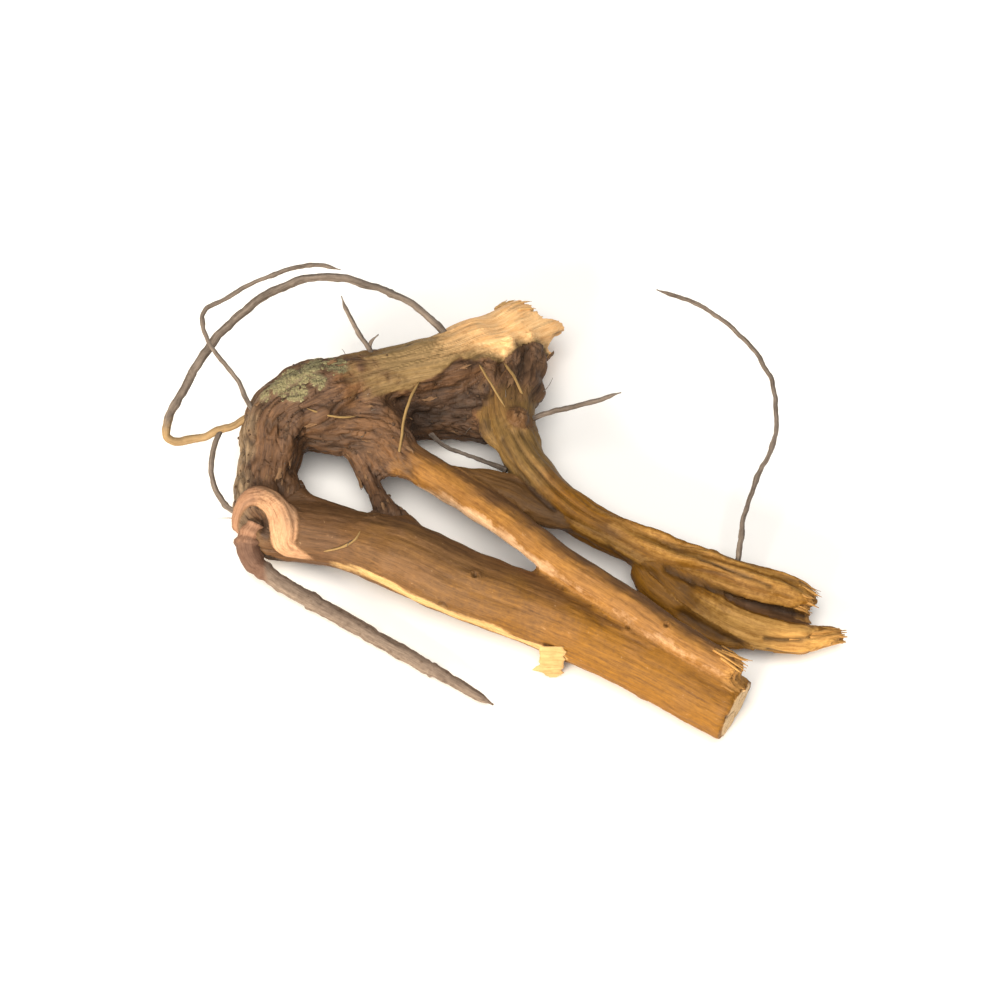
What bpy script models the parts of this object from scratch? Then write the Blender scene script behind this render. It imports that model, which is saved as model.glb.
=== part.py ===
"""Devil's shoestring root: one piece of dug and dried root crown, lying on a table.

A broken stem stub turns into a gnarled crown, which bends back on itself like a hairpin and runs on as the
main root. Two side roots leave the crown and lie beside the main root, and wiry rootlets loop out of it.
It grew as one piece, so it is one solid. +Z is up, the table is z = 0, and the origin is on the table
under the middle of the whole piece. Every route lists x, y, z of the root's middle and its radius, in mm.
"""

import bpy
import bmesh
from mathutils import Vector, noise

MM = 0.001

# The stem stub, the crown's upper ridge, the hairpin bend and the main root, from the broken end on.
MAIN_ROUTE = [
    (3.0, 27.0, 3.8, 4.8), (-1.0, 23.6, 6.0, 4.3), (-4.5, 21.5, 7.4, 3.9), (-7.0, 19.5, 8.3, 3.5),
    (-12.5, 17.5, 9.0, 3.1), (-18.0, 15.5, 9.0, 3.6), (-23.0, 13.5, 8.4, 4.6), (-27.5, 11.0, 7.2, 4.2),
    (-28.5, 6.5, 5.6, 3.7), (-29.0, 2.5, 4.4, 3.7), (-28.5, -1.5, 3.6, 3.9), (-24.0, -3.0, 4.2, 3.7),
    (-19.0, -3.5, 4.8, 3.3), (-12.5, -6.5, 5.2, 3.8), (-4.0, -11.0, 5.0, 3.8), (5.0, -15.2, 4.6, 4.0),
    (15.5, -20.0, 4.1, 4.0), (27.5, -27.2, 3.8, 4.0),
]
# The crown's swollen underside, and the hollow's floor behind where the two side roots leave it.
BELLY_ROUTE = [
    (-26.5, 12.0, 6.5, 3.6), (-20.5, 11.5, 6.5, 3.8), (-15.0, 10.5, 6.5, 3.6), (-12.0, 9.5, 6.2, 2.8),
]
HOLLOW_FLOOR_ROUTE = [
    (-15.0, 14.0, 4.5, 3.0), (-10.5, 13.5, 3.8, 2.8), (-5.5, 14.0, 3.8, 2.8), (-0.5, 15.0, 4.5, 3.0),
]
LOWER_SIDE_ROOT_ROUTE = [
    (-14.5, 10.0, 6.5, 3.2), (-11.5, 5.8, 6.6, 2.4), (-7.5, 2.8, 6.6, 2.3), (-2.5, -1.5, 7.4, 2.4),
    (2.5, -6.0, 8.3, 2.2), (7.0, -10.0, 8.8, 2.1), (15.5, -16.0, 8.4, 2.0), (22.0, -21.0, 8.5, 1.8),
    (27.5, -24.5, 8.5, 1.6),
]
UPPER_SIDE_ROOT_ROUTE = [
    (1.6, 23.5, 4.6, 3.6), (2.0, 18.6, 5.5, 3.3), (1.0, 14.0, 6.3, 3.2), (2.0, 8.5, 6.8, 2.8),
    (5.0, 3.0, 6.4, 2.5), (9.0, -1.5, 6.0, 2.4), (14.0, -4.5, 5.5, 2.5), (19.0, -7.0, 5.0, 2.4),
    (24.5, -8.5, 4.6, 2.1), (29.5, -10.5, 4.2, 2.2), (35.0, -12.0, 3.8, 1.9), (37.5, -13.0, 3.6, 1.6),
]
FORK_ROUTE = [
    (12.0, -4.5, 5.0, 2.2), (17.0, -8.6, 4.6, 2.5), (21.3, -12.4, 3.8, 2.4), (26.3, -15.2, 3.2, 2.1),
    (31.5, -16.5, 2.8, 1.9), (36.0, -17.0, 2.6, 1.6), (41.4, -16.5, 2.5, 0.8),
]
# The web that joins the two side roots, and the short root that drops from the crown to the main root.
WEB_ROUTE = [(-6.0, 3.6, 6.6, 1.6), (-2.5, 1.5, 6.6, 2.0), (1.5, 0.0, 6.4, 2.2), (4.5, -1.8, 6.4, 1.7)]
PROP_ROUTE = [
    (-19.0, 10.0, 6.0, 1.6), (-17.0, 6.0, 5.0, 1.2), (-15.0, 2.0, 4.6, 1.2), (-12.5, -2.5, 5.2, 1.6),
]
# The torn lip round a rotted root's scar on the bend, and a cut rootlet's stump.
SCAR_LIP_ROUTE = [
    (-32.4, -2.5, 3.5, 1.0), (-32.0, -1.0, 5.8, 1.0), (-30.5, 0.0, 7.6, 1.1), (-28.2, -0.5, 8.0, 1.1),
    (-26.5, -2.5, 7.9, 1.1), (-25.5, -4.5, 7.2, 1.0), (-24.5, -6.0, 5.5, 0.9),
]
STUMP_ROUTE = [(2.0, 9.5, 7.0, 1.4), (2.0, 10.5, 9.5, 1.25), (2.5, 10.5, 11.0, 1.15)]
THICK_ROUTES = [
    MAIN_ROUTE, BELLY_ROUTE, HOLLOW_FLOOR_ROUTE, LOWER_SIDE_ROOT_ROUTE, UPPER_SIDE_ROOT_ROUTE, FORK_ROUTE,
    WEB_ROUTE, PROP_ROUTE, SCAR_LIP_ROUTE, STUMP_ROUTE,
]

# The long thin root that leaves the scar and lies along the table.
THIN_ROOT_ROUTE = [
    (-30.0, -2.5, 5.0, 1.6), (-30.8, -4.8, 4.2, 1.3), (-29.8, -7.6, 3.0, 1.05), (-26.0, -9.7, 2.2, 0.95),
    (-19.5, -13.7, 1.7, 0.95), (-10.5, -19.5, 1.4, 0.85), (-5.5, -22.8, 1.3, 0.7), (-1.0, -26.0, 1.2, 0.5),
]
# The wiry rootlets, each from inside the root it grows from to its free tip or its other end.
LOOP_ROUTE = [
    (-27.0, 12.4, 7.6, 0.7), (-29.2, 12.9, 8.0, 0.6), (-32.7, 10.6, 8.0, 0.55), (-34.9, 9.7, 7.6, 0.5),
    (-38.3, 8.6, 7.0, 0.5), (-40.9, 8.3, 7.5, 0.5), (-41.1, 9.3, 8.5, 0.5), (-39.7, 12.1, 10.0, 0.5),
    (-35.6, 18.8, 12.5, 0.5), (-31.3, 23.0, 14.0, 0.5), (-26.7, 26.2, 14.5, 0.5), (-22.5, 27.4, 14.5, 0.5),
    (-18.1, 27.3, 14.0, 0.5), (-15.2, 26.6, 13.5, 0.5), (-12.4, 25.7, 13.0, 0.5), (-9.9, 24.1, 12.3, 0.5),
    (-7.1, 22.1, 10.5, 0.55), (-6.6, 20.5, 9.0, 0.6),
]
HIGH_LOOP_ROUTE = [
    (-29.6, 10.2, 8.0, 0.45), (-30.6, 11.0, 9.4, 0.4), (-31.6, 12.2, 10.4, 0.35), (-32.8, 14.8, 12.4, 0.3),
    (-34.9, 16.6, 13.9, 0.3), (-36.7, 20.1, 15.4, 0.3), (-36.2, 21.9, 16.0, 0.3), (-34.2, 23.0, 16.3, 0.3),
    (-31.3, 25.1, 16.5, 0.3), (-28.6, 26.3, 16.6, 0.3), (-25.4, 27.7, 16.5, 0.3), (-22.9, 28.2, 16.4, 0.3),
    (-20.6, 28.0, 16.0, 0.3),
]
CROWN_HAIR_ROUTE = [
    (-15.2, 17.0, 10.0, 0.45), (-15.5, 17.6, 11.0, 0.4), (-16.6, 18.9, 12.3, 0.32), (-18.0, 20.7, 14.0, 0.3),
    (-18.8, 22.0, 15.0, 0.3), (-19.7, 23.8, 16.0, 0.3),
]
CROWN_HAIR_FORK_ROUTE = [(-16.5, 18.8, 12.2, 0.3), (-16.3, 19.4, 12.8, 0.3), (-15.3, 20.1, 13.5, 0.3)]
BEND_HAIR_ROUTE = [
    (-34.6, 10.0, 7.6, 0.4), (-35.2, 8.0, 7.4, 0.35), (-35.6, 5.6, 6.7, 0.35), (-35.5, 3.8, 6.0, 0.35),
    (-34.6, 1.6, 5.0, 0.35), (-32.6, -0.4, 4.2, 0.4), (-30.5, -1.5, 4.0, 0.4),
]
STUB_HAIR_ROUTE = [
    (1.5, 10.8, 6.0, 0.5), (3.6, 11.4, 7.2, 0.42), (5.5, 11.6, 8.0, 0.35), (8.0, 11.9, 8.6, 0.32),
    (10.4, 12.4, 9.0, 0.3), (14.9, 13.8, 9.5, 0.3),
]
BRIDGE_HAIR_ROUTE = [
    (-9.4, 12.4, 3.8, 0.45), (-8.2, 10.6, 4.2, 0.32), (-6.6, 9.0, 4.6, 0.3), (-4.0, 7.8, 5.0, 0.3),
    (-1.5, 6.8, 5.6, 0.3), (0.6, 5.4, 6.2, 0.4),
]
LONG_HAIR_ROUTE = [
    (28.9, -9.4, 4.2, 0.5), (29.2, -8.0, 6.0, 0.38), (29.5, -5.1, 7.4, 0.32), (30.1, -1.7, 8.4, 0.3),
    (31.9, 2.4, 9.0, 0.3), (33.8, 6.2, 9.5, 0.3), (34.2, 12.0, 9.5, 0.3), (33.3, 17.9, 9.0, 0.3),
    (30.3, 22.2, 8.5, 0.3), (25.1, 27.4, 8.0, 0.3), (19.5, 30.3, 7.5, 0.3),
]
ROOTLET_ROUTES = [
    LOOP_ROUTE, HIGH_LOOP_ROUTE, CROWN_HAIR_ROUTE, CROWN_HAIR_FORK_ROUTE, BEND_HAIR_ROUTE, STUB_HAIR_ROUTE,
    BRIDGE_HAIR_ROUTE, LONG_HAIR_ROUTE,
]

# Torn wood: where the splinters leave, the way they point, and how far they stand out, in mm.
SPLINTERS = [
    ((1.0, 27.0, 8.6), (0.55, 0.75, 0.1), 3.2),
    ((3.2, 26.6, 8.8), (0.8, 0.5, 0.0), 2.6),
    ((5.0, 25.2, 7.4), (0.9, 0.35, 0.1), 3.2),
    ((2.6, 28.6, 4.4), (0.7, 0.7, -0.15), 2.4),
    ((26.6, -24.2, 8.6), (0.85, -0.45, -0.1), 3.0),
    ((27.0, -23.6, 8.0), (0.9, -0.3, 0.1), 2.4),
    ((36.6, -12.0, 4.2), (0.9, -0.35, 0.1), 2.4),
    ((36.4, -13.0, 3.0), (0.95, -0.2, -0.1), 2.2),
    ((34.5, -16.2, 3.5), (0.95, 0.1, 0.2), 4.0),
    ((35.0, -17.6, 2.2), (0.97, -0.1, 0.0), 3.4),
]
SPLINTER_RADIUS_MM = 0.5
SPLINTER_TIP_MM = 0.3
SPLINTER_ROOT_MM = 1.6

# Local swellings (depth above zero) and hollows (below zero): middle, reach and depth, in mm.
SWELLINGS = [
    ((-30.2, -3.2, 7.0), 1.9, -1.7),
    ((-0.5, 25.0, 10.0), 3.4, -0.7),
    ((-22.0, 10.0, 9.5), 3.0, 0.7),
    ((-15.5, 11.5, 9.5), 2.6, 0.6),
    ((-10.0, 19.5, 11.0), 2.4, 0.4),
    ((-26.5, 15.0, 8.0), 3.0, 0.6),
    ((3.8, 16.5, 7.0), 2.6, 0.8),
    ((2.5, 21.0, 3.5), 3.0, -0.7),
    ((9.0, -17.5, 8.0), 3.0, 0.35),
    ((-9.0, -8.0, 2.0), 3.5, 0.5),
]
# Lumps all over, full on the crown, within its reach, and a share of that on the plain roots.
GNARL_MM = 0.45
GNARL_SIZE_MM = 4.5
CROWN_MIDDLE_MM = (-14.0, 14.0, 7.0)
CROWN_REACH_MM = 20.0
PLAIN_ROOT_GNARL = 0.35

# How finely the thick roots grow together, and how many flat faces they and the thin ones get.
VOXEL_MM = 0.75
THICK_TRIANGLES = 6600
ROOTLET_STEPS = 3
THICK_STEPS = 8
THICK_SIDES_LEVEL = 4
THIN_SIDES_LEVEL = 2
ROOTLET_SIDES_LEVEL = 1
TABLE_SIDE_MM = 200.0
TABLE_DEPTH_MM = 5.0

BARK_COLOUR = (0.29, 0.15, 0.055, 1.0)
BARK_ROUGHNESS = 0.72


def new_collection(name):
    collection = bpy.data.collections.new(name)
    bpy.context.scene.collection.children.link(collection)
    return collection


def clear_scene():
    for obj in list(bpy.data.objects):
        bpy.data.objects.remove(obj)


def bark_material():
    material = bpy.data.materials.new("root_bark")
    material.use_nodes = True
    shader = material.node_tree.nodes["Principled BSDF"]
    shader.inputs["Base Color"].default_value = BARK_COLOUR
    shader.inputs["Roughness"].default_value = BARK_ROUGHNESS
    shader.inputs["Metallic"].default_value = 0.0
    return material


def mesh_object(name, mesh, collection):
    obj = bpy.data.objects.new(name, mesh)
    collection.objects.link(obj)
    return obj


def evaluated_mesh(obj):
    """A new mesh of the object with its modifiers applied."""
    graph = bpy.context.evaluated_depsgraph_get()
    return bpy.data.meshes.new_from_object(obj.evaluated_get(graph))


def root_tube(name, route, collection, bevel_resolution, steps):
    """A closed tube along a route, as thick at each point as the route says."""
    curve = bpy.data.curves.new(name, "CURVE")
    curve.dimensions = "3D"
    curve.bevel_depth = MM
    curve.bevel_resolution = bevel_resolution
    curve.resolution_u = steps
    curve.use_fill_caps = True
    spline = curve.splines.new("BEZIER")
    spline.bezier_points.add(len(route) - 1)
    for point, (x, y, z, radius) in zip(spline.bezier_points, route):
        point.co = Vector((x, y, z)) * MM
        point.handle_left_type = "AUTO"
        point.handle_right_type = "AUTO"
        point.radius = radius
    guide = bpy.data.objects.new(name, curve)
    collection.objects.link(guide)
    bpy.context.view_layer.update()
    mesh = evaluated_mesh(guide)
    bpy.data.objects.remove(guide)
    weld_caps(mesh)
    return mesh_object(name, mesh, collection)


def weld_caps(mesh):
    shape = bmesh.new()
    shape.from_mesh(mesh)
    bmesh.ops.remove_doubles(shape, verts=shape.verts, dist=0.01 * MM)
    bmesh.ops.recalc_face_normals(shape, faces=shape.faces)
    shape.to_mesh(mesh)
    shape.free()


def joined(name, objects, collection):
    """One object that holds all their meshes, which still pass through each other."""
    shape = bmesh.new()
    for obj in objects:
        shape.from_mesh(obj.data)
        bpy.data.objects.remove(obj)
    mesh = bpy.data.meshes.new(name)
    shape.to_mesh(mesh)
    shape.free()
    return mesh_object(name, mesh, collection)


def with_modifier(obj, kind, **settings):
    """Applies one modifier to the object's mesh."""
    modifier = obj.modifiers.new(kind.lower(), kind)
    for key, value in settings.items():
        setattr(modifier, key, value)
    bpy.context.view_layer.update()
    mesh = evaluated_mesh(obj)
    obj.modifiers.remove(modifier)
    obj.data = mesh
    return obj


def swell(place):
    """How far a point of the thick roots moves out along its normal, in mm."""
    moved = 0.0
    for middle, reach, depth in SWELLINGS:
        away = (place - Vector(middle)).length / reach
        if away < 1.0:
            moved += depth * (1.0 - away * away) ** 2
    from_crown = (place - Vector(CROWN_MIDDLE_MM)).length / CROWN_REACH_MM
    share = PLAIN_ROOT_GNARL + (1.0 - PLAIN_ROOT_GNARL) * max(0.0, 1.0 - from_crown ** 4)
    return moved + GNARL_MM * share * noise.noise(place / GNARL_SIZE_MM)


def gnarl(mesh):
    """Pushes the thick roots' surface in and out, so that they are lumpy as dried root is."""
    mesh.update()
    moves = [swell(vertex.co / MM) for vertex in mesh.vertices]
    normals = [vertex.normal.copy() for vertex in mesh.vertices]
    for vertex, normal, move in zip(mesh.vertices, normals, moves):
        vertex.co += normal * (move * MM)


def thick_roots(collection):
    tubes = [
        root_tube(f"thick_{index}", route, collection, THICK_SIDES_LEVEL, THICK_STEPS)
        for index, route in enumerate(THICK_ROUTES)
    ]
    body = joined("root", tubes, collection)
    with_modifier(body, "REMESH", mode="VOXEL", voxel_size=VOXEL_MM * MM, adaptivity=0.0)
    with_modifier(body, "SMOOTH", factor=0.5, iterations=3)
    gnarl(body.data)
    with_modifier(body, "TRIANGULATE")
    share = THICK_TRIANGLES / len(body.data.polygons)
    return with_modifier(body, "DECIMATE", ratio=min(1.0, share), use_collapse_triangulate=True)


def splinter_route(start, way, length):
    """A splinter's route, rooted inside the wood."""
    direction = Vector(way).normalized()
    inside = Vector(start) - direction * SPLINTER_ROOT_MM
    tip = Vector(start) + direction * length
    return [(*inside, SPLINTER_RADIUS_MM), (*start, SPLINTER_RADIUS_MM), (*tip, SPLINTER_TIP_MM)]


def fuse(body, fine):
    """Joins every object of a collection to the body in one closed solid, and removes them."""
    with_modifier(
        body, "BOOLEAN", operation="UNION", operand_type="COLLECTION", collection=fine, solver="MANIFOLD"
    )
    for obj in list(fine.objects):
        bpy.data.objects.remove(obj)
    bpy.data.collections.remove(fine)


def cut_to_table(body, cutters):
    """Takes off what would reach below the table, which leaves the three small flats that it rests on."""
    bpy.ops.mesh.primitive_cube_add(size=1.0, location=(0.0, 0.0, -TABLE_DEPTH_MM * MM / 2))
    table = bpy.context.active_object
    table.name = "table_cutter"
    table.scale = (TABLE_SIDE_MM * MM, TABLE_SIDE_MM * MM, TABLE_DEPTH_MM * MM)
    bpy.ops.object.transform_apply(location=False, rotation=False, scale=True)
    table.hide_render = True
    table.display_type = "WIRE"
    for collection in list(table.users_collection):
        collection.objects.unlink(table)
    cutters.objects.link(table)
    cut = body.modifiers.new("rest_flats", "BOOLEAN")
    cut.operation = "DIFFERENCE"
    cut.object = table
    cut.solver = "MANIFOLD"


def main():
    clear_scene()
    parts = new_collection("devils_shoestring")
    cutters = new_collection("cutters")
    fine = new_collection("fine_roots")
    body = thick_roots(parts)
    root_tube("thin_root", THIN_ROOT_ROUTE, fine, THIN_SIDES_LEVEL, ROOTLET_STEPS)
    for index, route in enumerate(ROOTLET_ROUTES):
        root_tube(f"rootlet_{index}", route, fine, ROOTLET_SIDES_LEVEL, ROOTLET_STEPS)
    for index, (start, way, length) in enumerate(SPLINTERS):
        root_tube(f"splinter_{index}", splinter_route(start, way, length), fine, ROOTLET_SIDES_LEVEL, 1)
    fuse(body, fine)
    cut_to_table(body, cutters)
    body.data.materials.clear()
    body.data.materials.append(bark_material())
    body.data.shade_smooth()


main()
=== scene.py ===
from math import cos, pi, radians, sin

import bmesh
import bpy
import numpy as np
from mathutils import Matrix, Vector
from mathutils.bvhtree import BVHTree
from mathutils.geometry import interpolate_bezier


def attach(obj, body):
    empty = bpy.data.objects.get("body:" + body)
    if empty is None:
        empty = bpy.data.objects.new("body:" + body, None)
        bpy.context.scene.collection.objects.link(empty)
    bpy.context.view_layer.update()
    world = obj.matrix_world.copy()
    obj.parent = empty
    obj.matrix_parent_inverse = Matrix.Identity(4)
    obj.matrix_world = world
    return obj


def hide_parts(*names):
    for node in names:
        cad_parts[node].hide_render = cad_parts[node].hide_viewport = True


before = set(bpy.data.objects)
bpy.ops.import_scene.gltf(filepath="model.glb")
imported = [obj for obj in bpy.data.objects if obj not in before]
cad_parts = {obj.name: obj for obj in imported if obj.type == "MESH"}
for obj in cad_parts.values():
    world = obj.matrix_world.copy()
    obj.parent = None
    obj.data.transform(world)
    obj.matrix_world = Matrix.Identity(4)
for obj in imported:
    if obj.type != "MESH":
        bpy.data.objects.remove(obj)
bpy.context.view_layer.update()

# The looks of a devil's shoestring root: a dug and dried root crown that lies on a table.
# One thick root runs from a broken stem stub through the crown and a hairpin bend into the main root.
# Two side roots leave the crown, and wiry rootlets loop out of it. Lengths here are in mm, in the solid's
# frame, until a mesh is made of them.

MM = 0.001

# Routes of the thick roots: x, y, z of the middle and the radius. They run near the solid's own, moved and
# thickened a little to meet the photograph. The last two are in the looks alone.
THICK_ROUTES = {
    "main": [
        (3.0, 27.0, 3.8, 4.8), (-1.0, 23.6, 6.0, 4.3), (-4.5, 21.5, 7.4, 4.0), (-7.0, 19.6, 8.3, 3.8),
        (-12.5, 17.6, 9.0, 3.5), (-18.0, 15.7, 9.1, 3.9), (-23.0, 13.8, 8.6, 4.9), (-27.7, 11.2, 7.3, 4.5),
        (-28.8, 6.5, 5.6, 3.85), (-29.3, 2.5, 4.4, 3.9), (-28.6, -1.5, 3.6, 3.9), (-24.0, -3.1, 4.2, 3.7),
        (-19.0, -4.4, 4.8, 3.6), (-12.5, -6.9, 5.3, 4.4), (-4.0, -11.2, 5.2, 4.3), (5.0, -14.8, 4.8, 4.2),
        (15.5, -20.0, 4.1, 4.0), (27.5, -27.2, 3.8, 4.0),
    ],
    "belly": [
        (-26.5, 12.0, 6.5, 3.6), (-20.5, 11.3, 6.4, 3.9), (-15.0, 10.5, 6.5, 3.6), (-12.0, 9.5, 6.2, 2.8),
    ],
    "hollow_floor": [
        (-15.0, 14.2, 4.5, 3.0), (-10.5, 14.1, 3.8, 2.7), (-5.5, 14.0, 3.8, 2.8), (-1.4, 13.2, 4.5, 3.05),
    ],
    "lower_side": [
        (-14.5, 10.0, 6.5, 3.2), (-11.5, 6.3, 6.6, 2.15), (-7.5, 3.3, 6.6, 2.1), (-2.5, -1.0, 7.4, 2.2),
        (2.5, -5.65, 8.3, 2.05), (7.0, -9.95, 8.8, 2.0), (15.5, -16.0, 8.4, 2.0), (22.0, -21.0, 8.5, 1.8),
        (27.5, -24.5, 8.5, 1.6),
    ],
    "upper_side": [
        (1.6, 23.5, 4.6, 3.6), (2.0, 18.6, 5.5, 3.3), (0.7, 14.0, 6.3, 3.0), (1.6, 8.5, 6.8, 2.4),
        (4.8, 3.1, 6.4, 2.35), (9.0, -1.3, 6.0, 2.4), (14.0, -4.3, 5.5, 2.35), (19.0, -6.9, 5.0, 2.4),
        (24.5, -8.3, 4.7, 2.2), (29.5, -10.2, 4.3, 2.3), (35.0, -11.6, 3.9, 2.0), (37.5, -12.7, 3.7, 1.6),
    ],
    "fork": [
        (16.2, -5.8, 5.2, 1.5), (19.6, -9.2, 4.6, 2.1), (23.0, -12.3, 4.0, 2.3), (26.8, -14.9, 3.3, 2.1),
        (31.5, -16.5, 2.8, 1.9), (36.0, -17.0, 2.6, 1.6), (40.6, -16.5, 2.5, 0.8),
    ],
    "web": [
        (-6.0, 3.4, 6.5, 1.6), (-2.5, 2.2, 6.5, 2.05), (1.0, 0.9, 6.4, 2.2), (4.7, -1.2, 6.2, 1.8),
        (7.2, -2.2, 6.0, 1.5), (10.5, -3.6, 5.7, 0.9),
    ],
    "prop": [
        (-19.0, 10.0, 6.0, 1.9), (-17.3, 6.3, 5.2, 1.5), (-15.8, 3.2, 5.0, 1.2), (-15.0, 0.9, 5.2, 1.3),
        (-14.2, -1.9, 5.4, 2.1),
    ],
    "scar_lip": [
        (-32.4, -2.5, 3.5, 0.9), (-32.0, -1.0, 5.8, 0.9), (-30.5, 0.0, 7.5, 1.0), (-28.6, -0.5, 7.8, 1.3),
        (-26.9, -2.2, 7.5, 1.6), (-26.3, -4.2, 6.8, 1.7), (-26.2, -5.6, 5.7, 1.35), (-24.5, -6.3, 4.9, 0.85),
        (-22.6, -6.5, 4.6, 0.5),
    ],
    "stump": [(2.0, 9.8, 7.0, 1.5), (2.1, 10.6, 9.4, 1.35), (2.4, 10.6, 10.5, 1.2)],
    # The two prongs are one piece of wood lower down, which fills the gap between them.
    "prong_gap": [
        (22.5, -10.2, 3.6, 1.9), (27.5, -12.2, 2.7, 1.8), (32.5, -13.9, 2.2, 1.6), (37.0, -14.8, 2.0, 1.1),
    ],
    # The fork's sheltered flank, which closes the gap to the lower side root.
    "fork_flank": [
        (16.4, -8.2, 4.4, 1.4), (18.6, -11.3, 3.9, 1.9), (22.2, -14.0, 3.4, 1.8), (25.5, -16.4, 3.0, 1.6),
        (29.0, -17.4, 2.6, 1.2),
    ],
}

# The thin root and the wiry rootlets, which run within about 1 mm of the solid's.
THIN_ROOT_ROUTE = [
    (-30.0, -2.5, 5.0, 1.6), (-31.0, -4.7, 4.2, 1.65), (-30.4, -6.5, 3.3, 1.55), (-28.4, -8.1, 2.6, 1.1),
    (-26.0, -9.7, 2.2, 1.1), (-19.5, -13.6, 1.7, 1.1), (-10.5, -19.2, 1.4, 1.0), (-5.5, -22.3, 1.3, 0.75),
    (-1.0, -25.2, 1.2, 0.5),
]
ROOTLET_ROUTES = {
    "loop_rootlet": [
        (-27.0, 12.4, 7.6, 0.7), (-29.2, 12.9, 8.0, 0.6), (-32.7, 10.6, 8.0, 0.55), (-34.9, 9.7, 7.6, 0.5),
        (-38.4, 8.8, 7.0, 0.6), (-41.2, 8.4, 7.5, 0.6), (-41.6, 9.5, 8.5, 0.6), (-40.2, 12.5, 10.0, 0.6),
        (-36.1, 19.5, 12.5, 0.6), (-31.7, 23.9, 14.0, 0.6), (-27.0, 27.1, 14.5, 0.6),
        (-22.4, 28.3, 14.5, 0.58), (-18.0, 27.9, 14.0, 0.55), (-15.1, 27.1, 13.5, 0.5),
        (-12.3, 26.0, 13.0, 0.5), (-9.8, 24.3, 12.3, 0.5), (-7.1, 22.1, 10.5, 0.55), (-6.6, 20.5, 9.0, 0.6),
    ],
    "high_loop_rootlet": [
        (-29.6, 10.2, 8.0, 0.45), (-30.6, 11.0, 9.4, 0.4), (-31.6, 12.2, 10.4, 0.35),
        (-33.0, 14.8, 12.4, 0.3), (-35.1, 16.7, 13.9, 0.3), (-37.1, 20.3, 15.4, 0.3),
        (-36.6, 22.3, 16.0, 0.3), (-34.4, 23.6, 16.3, 0.3), (-31.4, 25.8, 16.4, 0.3),
        (-28.6, 27.1, 16.5, 0.3), (-25.3, 28.4, 16.4, 0.3), (-22.7, 28.8, 16.3, 0.3),
        (-20.2, 28.4, 16.0, 0.3),
    ],
    "crown_hair": [
        (-15.2, 17.0, 10.0, 0.45), (-15.5, 17.6, 11.0, 0.4), (-16.6, 18.9, 12.3, 0.32),
        (-18.1, 20.8, 14.0, 0.3), (-19.0, 22.2, 15.0, 0.3), (-20.0, 24.2, 16.0, 0.3),
    ],
    "crown_hair_fork": [(-16.5, 18.8, 12.2, 0.3), (-16.3, 19.4, 12.8, 0.3), (-15.3, 20.1, 13.5, 0.3)],
    "bend_hair": [
        (-34.8, 10.0, 7.6, 0.4), (-35.5, 8.0, 7.4, 0.38), (-35.9, 5.6, 6.7, 0.38), (-35.8, 3.8, 6.0, 0.38),
        (-34.8, 1.6, 5.0, 0.38), (-32.6, -0.4, 4.2, 0.4), (-30.5, -1.5, 4.0, 0.4),
    ],
    "stub_hair": [
        (1.5, 10.8, 6.0, 0.5), (3.6, 11.6, 7.2, 0.42), (5.5, 11.9, 8.0, 0.38), (8.0, 12.3, 8.6, 0.36),
        (10.4, 12.8, 9.0, 0.34), (14.9, 14.1, 9.5, 0.3),
    ],
    "bridge_hair": [
        (-9.4, 12.4, 3.8, 0.45), (-8.2, 10.6, 4.2, 0.32), (-6.6, 9.0, 4.6, 0.3), (-4.0, 7.6, 5.0, 0.3),
        (-1.5, 6.2, 5.6, 0.3), (0.6, 4.7, 6.2, 0.4),
    ],
    "long_hair": [
        (28.4, -9.4, 4.2, 0.5), (28.6, -8.0, 6.0, 0.38), (29.0, -5.1, 7.4, 0.34), (29.8, -1.7, 8.4, 0.32),
        (31.5, 2.4, 9.0, 0.32), (33.3, 6.2, 9.5, 0.32), (34.1, 12.0, 9.5, 0.32), (33.3, 17.9, 9.0, 0.32),
        (30.6, 23.2, 8.5, 0.32), (25.3, 28.8, 8.0, 0.32), (20.0, 31.6, 7.5, 0.3),
    ],
}
FREE_TIPS = ("high_loop_rootlet", "crown_hair", "crown_hair_fork", "stub_hair", "long_hair")

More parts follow.
